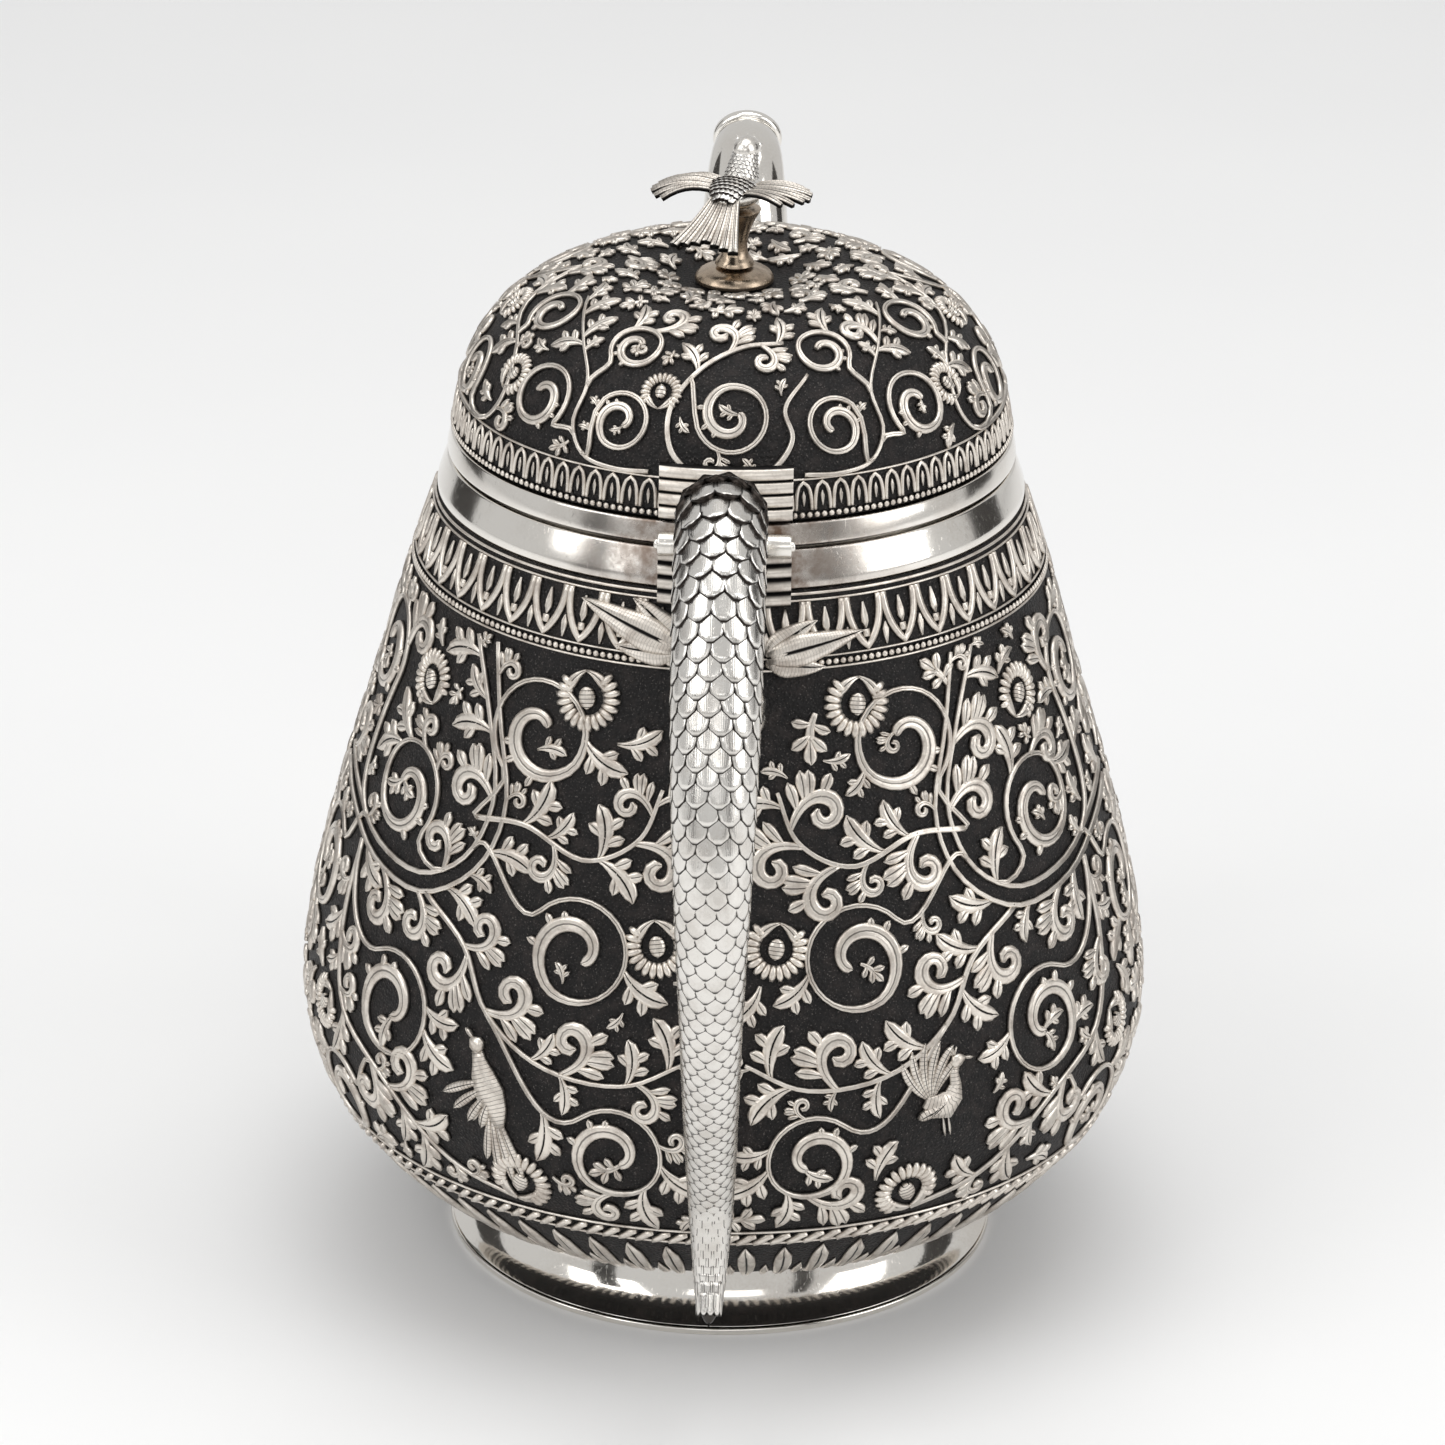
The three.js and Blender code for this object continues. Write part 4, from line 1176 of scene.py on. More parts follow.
def scale_unit(name, material, half_turn=0.33, thickness=0.1, columns=6, rows=6):
    """A scale one unit wide and long on a round stem: rooted at y = 0, with a round free edge at y = 1."""
    along = np.linspace(0, 1, rows)
    half = np.where(along < 0.5, 1.0, np.sqrt(np.clip(1 - ((along - 0.5) / 0.5) ** 2, 0.03, 1)))
    across = np.linspace(-1, 1, columns)
    radius = 0.5 / math.sin(half_turn)
    points, relief, uv = [], [], []
    for side, drop in ((1, 0.0), (-1, thickness * 2.6)):
        for y, reach in zip(along, half):
            for x in across:
                turn = x * reach * half_turn
                bulge = thickness * (0.3 + 0.9 * y) * (1 - 0.25 * x * x) if side > 0 else 0.0
                level = radius * (math.cos(turn) - 1) + bulge - drop
                points.append((radius * math.sin(turn), y, level))
                edge = min(1 - abs(x), (1 - y) * 2.2)
                relief.append(0.0 if side < 0 else min(1.0, edge * 5 + 0.05))
                uv.append((x, y))
    count = rows * columns
    faces = grid_faces(rows, columns).tolist()
    faces += [list(reversed(f)) for f in grid_faces(rows, columns, count).tolist()]
    rim = ([(0, c) for c in range(columns - 1)] + [(r, columns - 1) for r in range(rows - 1)]
           + [(rows - 1, c) for c in range(columns - 1, 0, -1)] + [(r, 0) for r in range(rows - 1, 0, -1)])
    loop = [r * columns + c for r, c in rim]
    for a, b in zip(loop, loop[1:] + loop[:1]):
        faces.append([b, a, a + count, b + count])
    made = mesh_object(name, np.array(points) / MM, faces, material, (("relief", relief),), np.array(uv))
    turn_outwards(made)
    return made


def turn_outwards(made):
    work = bmesh.new()
    work.from_mesh(made.data)
    bmesh.ops.recalc_face_normals(work, faces=work.faces)
    work.to_mesh(made.data)
    work.free()


def cut(made, cutter):
    """Takes the cutter's volume from a piece."""
    modifier = made.modifiers.new("Cut", "BOOLEAN")
    modifier.operation, modifier.solver, modifier.object = "DIFFERENCE", "EXACT", cutter
    evaluated = made.evaluated_get(bpy.context.evaluated_depsgraph_get())
    mesh = bpy.data.meshes.new_from_object(evaluated)
    made.modifiers.clear()
    made.data = mesh
    mesh.polygons.foreach_set("use_smooth", np.ones(len(mesh.polygons), bool))
    return made


def settle(made, body, slot, *nodes):
    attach(made, body)
    if nodes:
        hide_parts(*nodes)
    return made


def crisp(made, degrees=35):
    """Keeps edges sharper than the angle as edges, and the rest smooth."""
    made.data.set_sharp_from_angle(angle=math.radians(degrees))
    return made


# ---- Pieces -------------------------------------------------------------------------------------------

def outline_points(surface, count, lift=0.0):
    along = np.linspace(0, surface.length, count)
    spots = surface.place(np.zeros(count), along, np.full(count, lift))
    return [(float(-y), float(z)) for _, y, z in spots]


def face_centres(made):
    """The middle of every face, in millimetres."""
    centres = np.zeros(len(made.data.polygons) * 3, np.float32)
    made.data.polygons.foreach_get("center", centres)
    return centres.reshape(-1, 3) / MM


def solid_clear_of_body(gap=GAP):
    """The vessel as one solid, grown by the soldering gap, to cut its neighbours with."""
    outside = outline_points(BODY, 60, gap)
    return turned("clear_of_body", [(0, outside[0][1]), *outside, (0, outside[-1][1])], pale_floor(), 192,
                  soften=0.0)


def make_vessel(segments):
    outside = outline_points(BODY, 70)
    inside = outline_points(BODY, 50, -BODY_WALL)
    bottom = [(0, 12), (18, 11.3), (30, 9.7)]
    outline = [*bottom, *outside, (inside[-1][0], 120.5), *inside[1:-1][::-1],
               *[(r, z + BODY_WALL) for r, z in bottom[::-1]]]
    shell = turned("vessel_shell", outline, blackened_ground(), segments, soften=0.12)
    reach, bore = 15, SPOUT_WAY["radius"]
    profile = [(0, -reach), (bore, -reach), (bore, reach), (0, reach)]
    way = turned("spout_way", profile, satin_silver(), 48, soften=0)
    lean = Matrix.Rotation(SPOUT_WAY["tilt"] - math.pi / 2, 4, "X")
    way.data.transform(Matrix.Translation(Vector((0, *SPOUT_PATH[1][:2])) * MM) @ lean)
    cut(shell, way)
    bpy.data.objects.remove(way)
    shell.data.materials.append(inside_silver())
    centres = face_centres(shell)
    radius = np.hypot(centres[:, 0], centres[:, 1])
    wall = np.interp(centres[:, 2], BODY.height, BODY.radius)
    inner = (radius < wall - 0.7) & (centres[:, 2] > 12.2)
    shell.data.polygons.foreach_set("material_index", inner.astype(np.int32))
    return settle(shell, POT, "chased_silver", "body_shell")


def inside_silver():
    look = bpy.context.scene.silver_pot_finish

    def build(graph):
        tone = use_group(graph, tone_group(), {
            "Clean": (*look.bright, 1), "Tarnished": (0.2, 0.14, 0.09, 1), "Tarnish": 0.9 * look.tarnish,
            "Cloud Scale": 48.0, "Roughness": 0.3, "Roughness Gain": 0.2})
        wear = use_group(graph, wear_group(), {"Scratches": 0.3, "Ripple": 1.0, "Ripple Scale": 150.0})
        return {"Color": tone["Color"], "Roughness": tone["Roughness"], "Height": wear["Height"]}
    return finish_material("inside_silver_finish", build, bump=0.3)


def bead_unit(name, surface, along, size, lift, material):
    """A round bead on the surface in the handle plane, with a dark foot."""
    rings, sides = 4, 7
    spot = surface.place(np.array([0.0]), np.array([along]), np.array([lift]))[0]
    points, relief = [], []
    for i in range(rings):
        tilt = math.pi * 0.62 * (i + 0.35) / rings
        for k in range(sides):
            turn = 2 * math.pi * k / sides
            points.append(spot + size * np.array([math.sin(tilt) * math.cos(turn), -math.cos(tilt),
                                                  math.sin(tilt) * math.sin(turn)]))
            relief.append(1.0 if i < 2 else (0.5 if i == 2 else 0.1))
    faces = grid_faces(rings, sides, wrap_columns=True).tolist()
    faces.append(list(range(sides)))
    faces.append(list(range((rings - 1) * sides, rings * sides)))
    made = mesh_object(name, points, faces, material, (("relief", relief),), np.zeros((len(points), 2)))
    turn_outwards(made)
    return made


def hoop(name, surface, along, width, height, material, body, slot="chased_silver"):
    """A plain half-round wire right round the surface."""
    count = 240
    section = np.array([(-1, -0.3), (-0.7, 0.7), (0, 1.0), (0.7, 0.7), (1, -0.3)])
    turn = np.linspace(0, 2 * math.pi * surface.reference, count, endpoint=False)
    spots = surface.place(np.repeat(turn[:, None], 5, 1), along + section[None, :, 0] * width,
                          section[None, :, 1] * height * np.ones((count, 1)))
    relief = np.tile(np.clip(section[:, 1], 0, 1), count)
    made = mesh_object(name, spots.reshape(-1, 3), grid_faces(count, 5, wrap_rows=True, wrap_columns=True),
                       material, (("relief", relief),), np.zeros((count * 5, 2)))
    turn_outwards(made)
    return settle(made, body, slot)


def tongue_strokes(low, high, half):
    """One pointed tongue: a bright rim, a slit and a dot in its middle, and a point in the gap beside it."""
    share = np.linspace(0, 1, 9)
    tall = high - low
    lean = half * 0.8 * (1 - share ** 2.6)
    side = [np.stack([s * lean, high - tall * 0.97 * share], axis=-1) for s in (-1, 1)]
    rim = np.vstack([side[0], side[1][::-1][1:]])
    made = [Ribbon(rim, half * 0.17, 0.75, "flat"),
            lobe((0, high - 0.9), -math.pi / 2, tall * 0.5, half * 0.22, 0, 0.7, 0.0, steps=5),
            Ribbon([(0, low + tall * 0.36), (0, low + tall * 0.22)], half * 0.17, 0.7, "flat"),
            lobe((half, low + 0.2), math.pi / 2, tall * 0.42, half * 0.2, 0, 0.6, 0.0, steps=4)]
    return made


def flute_strokes(low, high, half):
    """One arched flute with a bright rim and a dark hollow."""
    share = np.linspace(0, 1, 8)
    tall = high - low
    lean = half * 0.82 * np.sqrt(np.clip(1 - share ** 2.6, 0, 1))
    side = [np.stack([s * lean, low + tall * share], axis=-1) for s in (-1, 1)]
    rim = np.vstack([side[0], side[1][::-1][1:]])
    return [Ribbon(rim, half * 0.2, 0.55, "flat"),
            lobe((0, low + 0.5), math.pi / 2, tall * 0.55, half * 0.24, 0, 0.5, 0.0, steps=4)]


def leaflet_strokes(low, high, half):
    """One small upright leaf with a smaller one between it and the next."""
    tall = high - low
    return [lobe((0, low), math.pi / 2, tall * 0.92, half * 0.62, 0.12, 0.8, 1.0, steps=6),
            lobe((half, low), math.pi / 2, tall * 0.5, half * 0.3, 0, 0.6, 0.0, steps=4)]


def rope_strokes(along, half):
    """One strand of a twisted rope."""
    return [Ribbon([(-half * 1.1, along - 1.0), (-half * 0.4, along - 0.55), (half * 0.4, along + 0.55),
                    (half * 1.1, along + 1.0)], (0.25, 0.55, 0.55, 0.25), 1.0, "flat")]


def make_bands():
    silver = chased_silver()
    at = BODY.along_at
    tongues = 48
    half = math.pi * 48 / tongues
    ring_of("tongue_band", unit_of_ribbons("tongue", BODY, tongue_strokes(at(111.7), at(118.9), half),
                                           silver),
            tongues, silver, POT, phase=0.5)
    ring_of("bead_line", bead_unit("bead", BODY, at(110.6), 0.52, 0.25, silver), 270, silver, POT)
    hoop("bead_line_edge_low", BODY, at(109.8), 0.22, 0.5, silver, POT)
    hoop("bead_line_edge_high", BODY, at(111.4), 0.2, 0.5, silver, POT)
    hoop("mouth_line_high", BODY, at(120.0), 0.28, 0.45, silver, POT)
    hoop("mouth_line_low", BODY, at(119.1), 0.22, 0.45, silver, POT)
    ropes = 150
    ring_of("rope_band", unit_of_ribbons("rope", BODY, rope_strokes(at(25.6), math.pi * 59 / ropes), silver),
            ropes, silver, POT)
    hoop("rope_edge_low", BODY, at(24.3), 0.2, 0.5, silver, POT)
    hoop("rope_edge_high", BODY, at(26.9), 0.2, 0.5, silver, POT)
    leaflets = 62
    ring_of("leaf_border", unit_of_ribbons("leaflet", BODY,
                                           leaflet_strokes(at(12.2), at(23.9), math.pi * 50 / leaflets),
                                           silver), leaflets, silver, POT)
    at = LID.along_at
    ring_of("lid_bead_line", bead_unit("lid_bead", LID, at(131.0), 0.5, 0.2, silver), 236, silver, LID_BODY)
    flutes = 92
    ring_of("lid_flutes", unit_of_ribbons("flute", LID,
                                          flute_strokes(at(131.7), at(135.6), math.pi * 40.5 / flutes),
                                          silver), flutes, silver, LID_BODY)
    hoop("lid_flute_edge", LID, at(136.0), 0.2, 0.45, silver, LID_BODY)


def side_bird(chasing, bird, side):
    """Puts a bird into its reserved spot."""
    place, height, _ = BIRD_SPOT
    anchor = (math.radians(place) * BODY.reference, BODY.along_at(height))
    for ribbon in bird(side):
        chasing.laid.append((chasing.spread(anchor, ribbon.points), ribbon))


def make_scrollwork(seed):
    silver = chased_silver()
    for name, side, bird in (("right", 1, strutting_bird), ("left", -1, perched_bird)):
        work = Chasing(BODY, BODY.along_at(27.4), BODY.along_at(109.4), seed + side)
        at = BODY.along_at
        turn = BODY.reference
        work.reserve((0, at(47)), 4.6)
        work.reserve((0, at(102)), 8.0)
        work.reserve((math.radians(6) * turn, at(109)), 7.0)
        work.reserve((math.radians(17) * turn, at(112)), 7.0)
        for height in (34, 42, 50, 58):
            work.reserve((math.pi * turn, at(height)), 16.0 if height < 55 else 14.0)
        work.reserve((math.radians(BIRD_SPOT[0]) * turn, at(BIRD_SPOT[1])), BIRD_SPOT[2])
        lay_out(work, BODY_TRUNKS, BODY_SCROLLS, BODY_FLOWERS, (8.4, 7.2, 6.1, 5.1, 4.2, 3.4, 2.7), 0.5)
        side_bird(work, bird, 1)
        work.build(f"scrollwork_{name}", silver, POT, side)
    lid = Chasing(LID, LID.along_at(135.9), LID.length - 6.2, seed + 7, 1.7, True)
    middle = math.pi * LID.reference
    front = [lid.stem(path_on(LID, [(180 + a, z) for a, z in stops]), 0.42, 0.8, (1.3, 0.8))
             for stops in LID_FRONT_TRUNKS]
    for turn, height, radius, entry, hand, way in LID_FRONT_SCROLLS:
        start = front[0][len(front[0]) // 2]
        front.append(lid.scroll((middle + math.radians(turn) * LID.reference, LID.along_at(height)), radius,
                                math.radians(entry), hand, (start[0], start[1], math.radians(way))))
    lay_out(lid, LID_TRUNKS, LID_SCROLLS, LID_FLOWERS, (5.8, 4.9, 4.1, 3.4, 2.8, 2.2), 0.34,
            ((180, 1), (180, -1), (360, -1), (0, 1)), front)
    lid.build("lid_scrollwork", silver, LID_BODY, 1, 4)


def make_rims():
    # The collar and the lid's band carry the painted shadow of the handle by the hinge.
    silver, shadow_painted = polished_silver(), silver_with_painted_shadow()
    settle(turned("collar", [(40.5, 120.8), (43.6, 120.8), (43.5, 122), (42.0, 126.2), (40.5, 126.2)],
                  shadow_painted, 256,
                  soften=0.35), POT, "polished_silver", "collar_ring")
    settle(turned("lid_band", [(39.9, 126.8), (42.1, 126.8), (42.0, 127.6), (41.5, 130), (39.9, 130)],
                  shadow_painted, 256,
                  soften=0.35), LID_BODY, "polished_silver", "lid_rim_band")
    settle(turned("flange", [(38.3, 121.6), (39.6, 121.6), (39.6, 130), (38.3, 130)], inside_silver(), 192),
           LID_BODY,
           "satin_silver", "lid_flange")
    skirt = catmull_rom([(36.4, 8.9, 0), (36.9, 7.2, 0), (37.7, 5.0, 0), (39.3, 2.9, 0), (41.8, 1.3, 0)],
                        np.linspace(0, 1, 26))[:, :2]
    inner = skirt[::-1] - np.array([1.4, 0])
    foot = turned("foot", [tuple(p) for p in np.vstack([skirt, inner])], silver, 256, soften=0.15)
    settle(foot, POT, "polished_silver", "foot_ring")
    settle(turned("foot_wire", [(39.4, 0), (42, 0), (42, 1.0), (39.4, 1.0)], silver, 256, soften=0.3), POT,
           "polished_silver", "foot_rim_wire")


def make_lid(segments):
    outside = outline_points(LID, 50)
    inside = outline_points(LID, 40, -LID_WALL)
    outline = [*outside, (1.5, 150.8), *inside[1:-1][::-1], (inside[0][0], 130.3)]
    dome = turned("lid_shell", outline, blackened_ground(), segments, soften=0.1)
    dome.data.materials.append(inside_silver())
    centres = face_centres(dome)
    radius = np.hypot(centres[:, 0], centres[:, 1])
    level = np.interp(-radius, -LID.radius, LID.height)
    inner = (centres[:, 2] < level - 0.6) & (centres[:, 2] > 130.35)
    dome.data.polygons.foreach_set("material_index", inner.astype(np.int32))
    return settle(dome, LID_BODY, "chased_silver", "lid_dome")


def tube_mesh(name, tube, material, start, stop, steps, sides, wall=0.0, tip=0.0, shape=None):
    """A swept tube between two distances; solid where wall is 0, and closed at both ends."""
    distance = np.linspace(start, stop, steps)
    turn = np.linspace(0, 2 * math.pi, sides, endpoint=False)
    lift = np.zeros((steps, sides))
    if tip:
        beyond = np.clip((distance - (stop - tip)) / tip, 0, 1)[:, None]
        size = np.interp(distance, tube.along, tube.size.mean(axis=1))[:, None]
        lift = lift - size * (1 - np.sqrt(np.clip(1 - beyond ** 2, 0.01, 1)))
    if shape is not None:
        lift = lift + shape(distance[:, None], turn[None, :])
    outer = tube.place(distance[:, None], turn[None, :], lift)
    if wall:
        inner = tube.place(distance[::-1, None], turn[None, :], lift[::-1] - wall)
        points = np.concatenate([outer, inner])
        faces = grid_faces(2 * steps, sides, wrap_rows=True, wrap_columns=True).tolist()
    else:
        points = outer
        faces = grid_faces(steps, sides, wrap_columns=True).tolist()
        faces.append(list(range(sides)))
        faces.append(list(range((steps - 1) * sides, steps * sides)))
    made = mesh_object(name, points.reshape(-1, 3), faces, material)
    turn_outwards(made)
    return made


def make_handle(columns, pitch):
    tube = BentTube(HANDLE_PATH)
    clear = solid_clear_of_body()
    core = tube_mesh("handle_core", tube, scaled_silver(), 0.0, tube.length, 260, 40, tip=5.0,
                     shape=lambda s, t: -0.42 + 0 * s * t)
    give_relief(core, 0.15)
    cut(core, clear)
    settle(core, POT, "satin_silver", "handle_tube")
    spots, frames, sizes = [], [], []
    distance, row = 9.0, 0
    while distance < tube.length - 4.5:
        radius = float(np.interp(distance, tube.along, tube.size.mean(axis=1)))
        stretch = 1.0 + 0.25 * distance / tube.length
        step = pitch * max(0.62, radius / 6.2) * stretch
        width = 2 * math.pi * radius / columns
        for k in range(columns):
            turn = 2 * math.pi * (k + 0.5 * (row % 2)) / columns
            spot = tube.place(distance, turn, -0.34)
            ahead = tube.place(distance + 1.0, turn, -0.34) - spot
            out = tube.place(distance, turn, 1.0) - spot
            ahead /= np.linalg.norm(ahead)
            out -= ahead * out.dot(ahead)
            out /= np.linalg.norm(out)
            side = np.cross(ahead, out)
            spots.append(spot)
            frames.append(np.stack([side, ahead, out], axis=-1).tolist())
            sizes.append((width * 1.13, step * 2.25, width * 1.13))
        distance += step
        row += 1
    unit = scale_unit("handle_scale", scaled_silver(), half_turn=math.pi / columns * 1.08, thickness=0.085)
    scattered("handle_scales", unit, spots, frames, sizes, scaled_silver(), POT)
    root, following = np.array(HANDLE_PATH[0][:2]), np.array(HANDLE_PATH[1][:2])
    way = (following - root) / np.linalg.norm(following - root)
    ends = [root + way * reach for reach in (-8.5, -4.4, -0.3)]
    socket = BentTube([(ends[0][0], ends[0][1], 6.4, 6.4), (ends[1][0], ends[1][1], 6.3, 6.3),
                       (ends[2][0], ends[2][1], 6.0, 6.0)])
    piece = tube_mesh("handle_socket", socket, satin_silver(), 0, socket.length, 24, 48,
                      shape=lambda s, t: 0.25 * np.cos(s * 2.6) * np.ones_like(t))
    cut(piece, clear)
    settle(piece, POT, "satin_silver", "handle_root_socket")
    strut = turned("lower_strut", [(0, -11.5), (2.9, -11.5), (2.6, -6), (2.8, -3), (3.4, 0), (0, 0)],
                   satin_silver(), 48,
                   soften=0.5)
    strut.data.transform(Matrix.Translation((0, -62.5 * MM, 47 * MM)) @ Matrix.Rotation(-math.pi / 2, 4, "X"))
    cut(strut, clear)
    grown = tube_mesh("clear_of_handle", tube, satin_silver(), 120, tube.length, 120, 32,
                      shape=lambda s, t: 0.1 + 0 * s * t)
    cut(strut, grown)
    bpy.data.objects.remove(grown)
    settle(strut, POT, "satin_silver", "handle_lower_strut")
    bpy.data.objects.remove(clear)


def give_relief(made, value):
    layer = made.data.attributes.new("relief", "FLOAT", "POINT")
    layer.data.foreach_set("value", np.full(len(made.data.vertices), value, np.float32))
    if not made.data.uv_layers:
        made.data.uv_layers.new(name="Chased")


def pointed(share, belly=0.35):
    """Half-width of a leaf along its length: full near its root and pointed at its tip."""
    rise = np.clip(share / belly, 0, 1)
    fall = np.clip((1 - share) / (1 - belly), 0, 1)
    return np.clip(np.minimum(0.45 + 0.55 * np.sin(rise * math.pi / 2), fall ** 0.7), 0.03, 1)


def make_root_leaves():
    """A three-lobed leaf on each side of the handle's root."""
    share = np.linspace(0, 1, 12)
    for name, side, base, length, rise in (("left", -1, (6.4, 112.6), 15.4, 0.36),
                                           ("right", 1, (6.4, 111.6), 14.2, 0.2)):
        easel = Chasing(BODY, 0, BODY.length, 1)
        anchor = (base[0] * BODY.reference / 47, BODY.along_at(base[1]))
        laid = []
        for splay, reach, wide, high in ((0.62, 0.62, 0.165, 1.3), (-0.62, 0.6, 0.165, 1.3),
                                         (0, 1.0, 0.2, 1.9)):
            points, _ = sweep((0, 0), rise + splay, length * reach, -splay * 0.7, steps=12)
            ribbon = Ribbon(points, length * wide * pointed(share), high * (0.75 + 0.25 * np.sin(share * 3)),
                            "leaf",
                            1.0, 0.35)
            laid.append((easel.spread(anchor, points), ribbon, side))
        made = easel.mesh_only(f"root_leaf_{name}", laid, chased_silver())
        settle(made, POT, "satin_silver", f"handle_leaf_{name}")


def reeded_plate(name, low, high, thickness, material, body, node, painted_light):
    """A hinge leaf: a curved plate with four rounded reeds across it; the last argument dims the reeds'
    bright crowns to paint shade on them.
    """
    columns, count = 24, 41
    outline = []
    for k in range(count):
        share = k / (count - 1)
        proud = thickness + 0.55 * abs(math.sin(share * 4 * math.pi)) ** 0.7
        outline.append((low[0] + (high[0] - low[0]) * share + proud, low[1] + (high[1] - low[1]) * share))
    outline += [(high[0], high[1]), (low[0], low[1])]
    outline = np.array(outline)
    across = np.linspace(-9.5, 9.5, columns)
    bow = 1 - 0.12 * (np.abs(across) / 9.5) ** 6
    radius = outline[None, :, 0] - (1 - bow[:, None]) * thickness
    points = np.stack([np.broadcast_to(across[:, None], radius.shape),
                       -np.sqrt(radius ** 2 - across[:, None] ** 2),
                       np.broadcast_to(outline[None, :, 1], radius.shape)], axis=-1)
    size = len(outline)
    faces = grid_faces(columns, size, wrap_columns=True).tolist()
    faces.append(list(range(size)))
    faces.append(list(range((columns - 1) * size, columns * size)))
    share = np.arange(count) / (count - 1)
    # Bright reed crowns, scaled down by the last argument where shade is painted.
    relief = np.concatenate([np.abs(np.sin(share * 4 * math.pi)) ** 0.7 * painted_light, [0.1, 0.1]])
    made = mesh_object(name, points.reshape(-1, 3), faces, material, (("relief", np.tile(relief, columns)),),
                       np.zeros((columns * size, 2)))
    turn_outwards(made)
    crisp(made, 50)
    return settle(made, body, "satin_silver", node)


def laid_along_x(made, middle):
    """Turns a piece made upright so that it lies along X at a point."""
    made.data.transform(Matrix.Translation(Vector(middle) * MM) @ Matrix.Rotation(math.pi / 2, 4, "Y"))
    return made


def make_hinge():
    length, gap = (19 - 0.25 * 4) / 5, 0.25
    for k in range(5):
        on_lid = k % 2 == 1
        part = f"{'lid' if on_lid else 'body'}_{k // 2 + 1}"
        half = length / 2
        made = turned(f"knuckle_{part}", [(0.88, -half), (1.7, -half), (1.7, half), (0.88, half)],
                      satin_silver(), 48,
                      soften=0.25)
        laid_along_x(made, ((k - 2) * (length + gap), -45.7, 128.5))
        settle(made, LID_BODY if on_lid else POT, "satin_silver", f"hinge_knuckle_{part}")
    pin = turned("pin", [(0, -10), (0.8, -10), (0.8, 10), (0, 10)], satin_silver(), 32, soften=0.35)
    settle(laid_along_x(pin, (0, -45.7, 128.5)), POT, "satin_silver", "hinge_pin")
    # The body's leaf is dimmed to 0.55, a painted shadow of the handle; the lid's leaf stays fully lit at
    # 1.0.
    reeded_plate("body_hinge_leaf", (44.4, 118.8), (43.3, 126.9), 0.85, chased_silver(), POT,
                 "hinge_body_leaf", 0.55)
    reeded_plate("lid_hinge_leaf", (41.9, 130.8), (40.3, 138.4), 0.85, chased_silver(), LID_BODY,
                 "hinge_lid_leaf", 1.0)


def make_spout():
    tube = BentTube(SPOUT_PATH)
    clear = solid_clear_of_body()
    body = tube_mesh("spout", tube, polished_silver(), 0, tube.length, 200, 96, wall=1.3,
                     shape=lambda s, t: -0.55 * np.exp(-((t - 1.5 * math.pi) / 0.16) ** 2)
                     * np.clip((s - 40) / 20, 0, 1) * np.clip((tube.length - s) / 6, 0, 1))
    settle(cut(body, clear), POT, "polished_silver", "spout_tube")
    tip = np.array(SPOUT_PATH[-1][:2])
    way = tip - np.array(SPOUT_PATH[-2][:2])
    way /= np.linalg.norm(way)
    ends = [tip + way * reach for reach in (0.3, 1.3, 2.3)]
    lip = BentTube([(end[0], end[1], 5.6, 5.0) for end in ends])
    ring = tube_mesh("spout_lip", lip, polished_silver(), 0, lip.length, 12, 96, wall=1.8,
                     shape=lambda s, t: -0.5 * np.abs(2 * s / lip.length - 1) ** 3 * np.ones_like(t))
    settle(ring, POT, "polished_silver", "spout_lip_ring")
    make_calyx(tube, clear)
    bpy.data.objects.remove(clear)


def make_calyx(tube, clear):
    """A sleeve of pointed leaves round the spout's root."""
    steps, sides, leaves = 40, 180, 8
    turn = np.linspace(0, 2 * math.pi, sides, endpoint=False)
    place = (turn * leaves / (2 * math.pi) + 0.5) % 1 - 0.5
    top = 20.5 + 6.5 * (1 - np.abs(place * 2) ** 0.8)
    top = top + 2.5 * np.sin(turn)
    share = np.linspace(0, 1, steps)[:, None]
    distance = share * top[None, :]
    rib = 0.45 * np.exp(-(place / 0.07) ** 2) + 0.35 * (1 - np.abs(place * 2) ** 3)
    edge = np.clip((1 - share) / 0.12, 0, 1) ** 0.5
    outer = tube.place(distance, np.broadcast_to(turn, distance.shape),
                       1.3 + 1.2 * rib[None, :] * edge * share ** 0.3)
    inner = tube.place(distance[::-1], np.broadcast_to(turn, distance.shape), np.full(distance.shape, 0.3))
    points = np.concatenate([outer, inner])
    made = mesh_object("spout_calyx", points.reshape(-1, 3),
                       grid_faces(2 * steps, sides, wrap_rows=True, wrap_columns=True), satin_silver())
    turn_outwards(made)
    settle(cut(made, clear), POT, "satin_silver", "spout_root_calyx")


def make_strainer():
    """The pierced disc keeps its own solid and takes a worn finish."""
    for name, finish in (("spout_strainer", inside_silver()), ("finial_washer", satin_silver()),
                         ("finial_nut", satin_silver())):
        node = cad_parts[name]
        node.data.materials.clear()
        node.data.materials.append(finish)


def bird_frame():
    return Matrix.Translation((0, 0, BIRD["seat"] * MM)) @ Matrix.Rotation(BIRD["yaw"], 4, "Z")


def blob(name, radii, centre, material):
    rings, sides = 24, 40
    tilt = np.linspace(0.02, math.pi - 0.02, rings)[:, None]
    turn = np.linspace(0, 2 * math.pi, sides, endpoint=False)[None, :]
    unit = np.stack([np.sin(tilt) * np.cos(turn), np.sin(tilt) * np.sin(turn),
                     np.cos(tilt) * np.ones_like(turn)], axis=-1)
    faces = grid_faces(rings, sides, wrap_columns=True).tolist()
    faces += [list(range(sides)), list(range((rings - 1) * sides, rings * sides))]
    made = mesh_object(name, (unit * np.array(radii) + np.array(centre)).reshape(-1, 3), faces, material)
    turn_outwards(made)
    return made


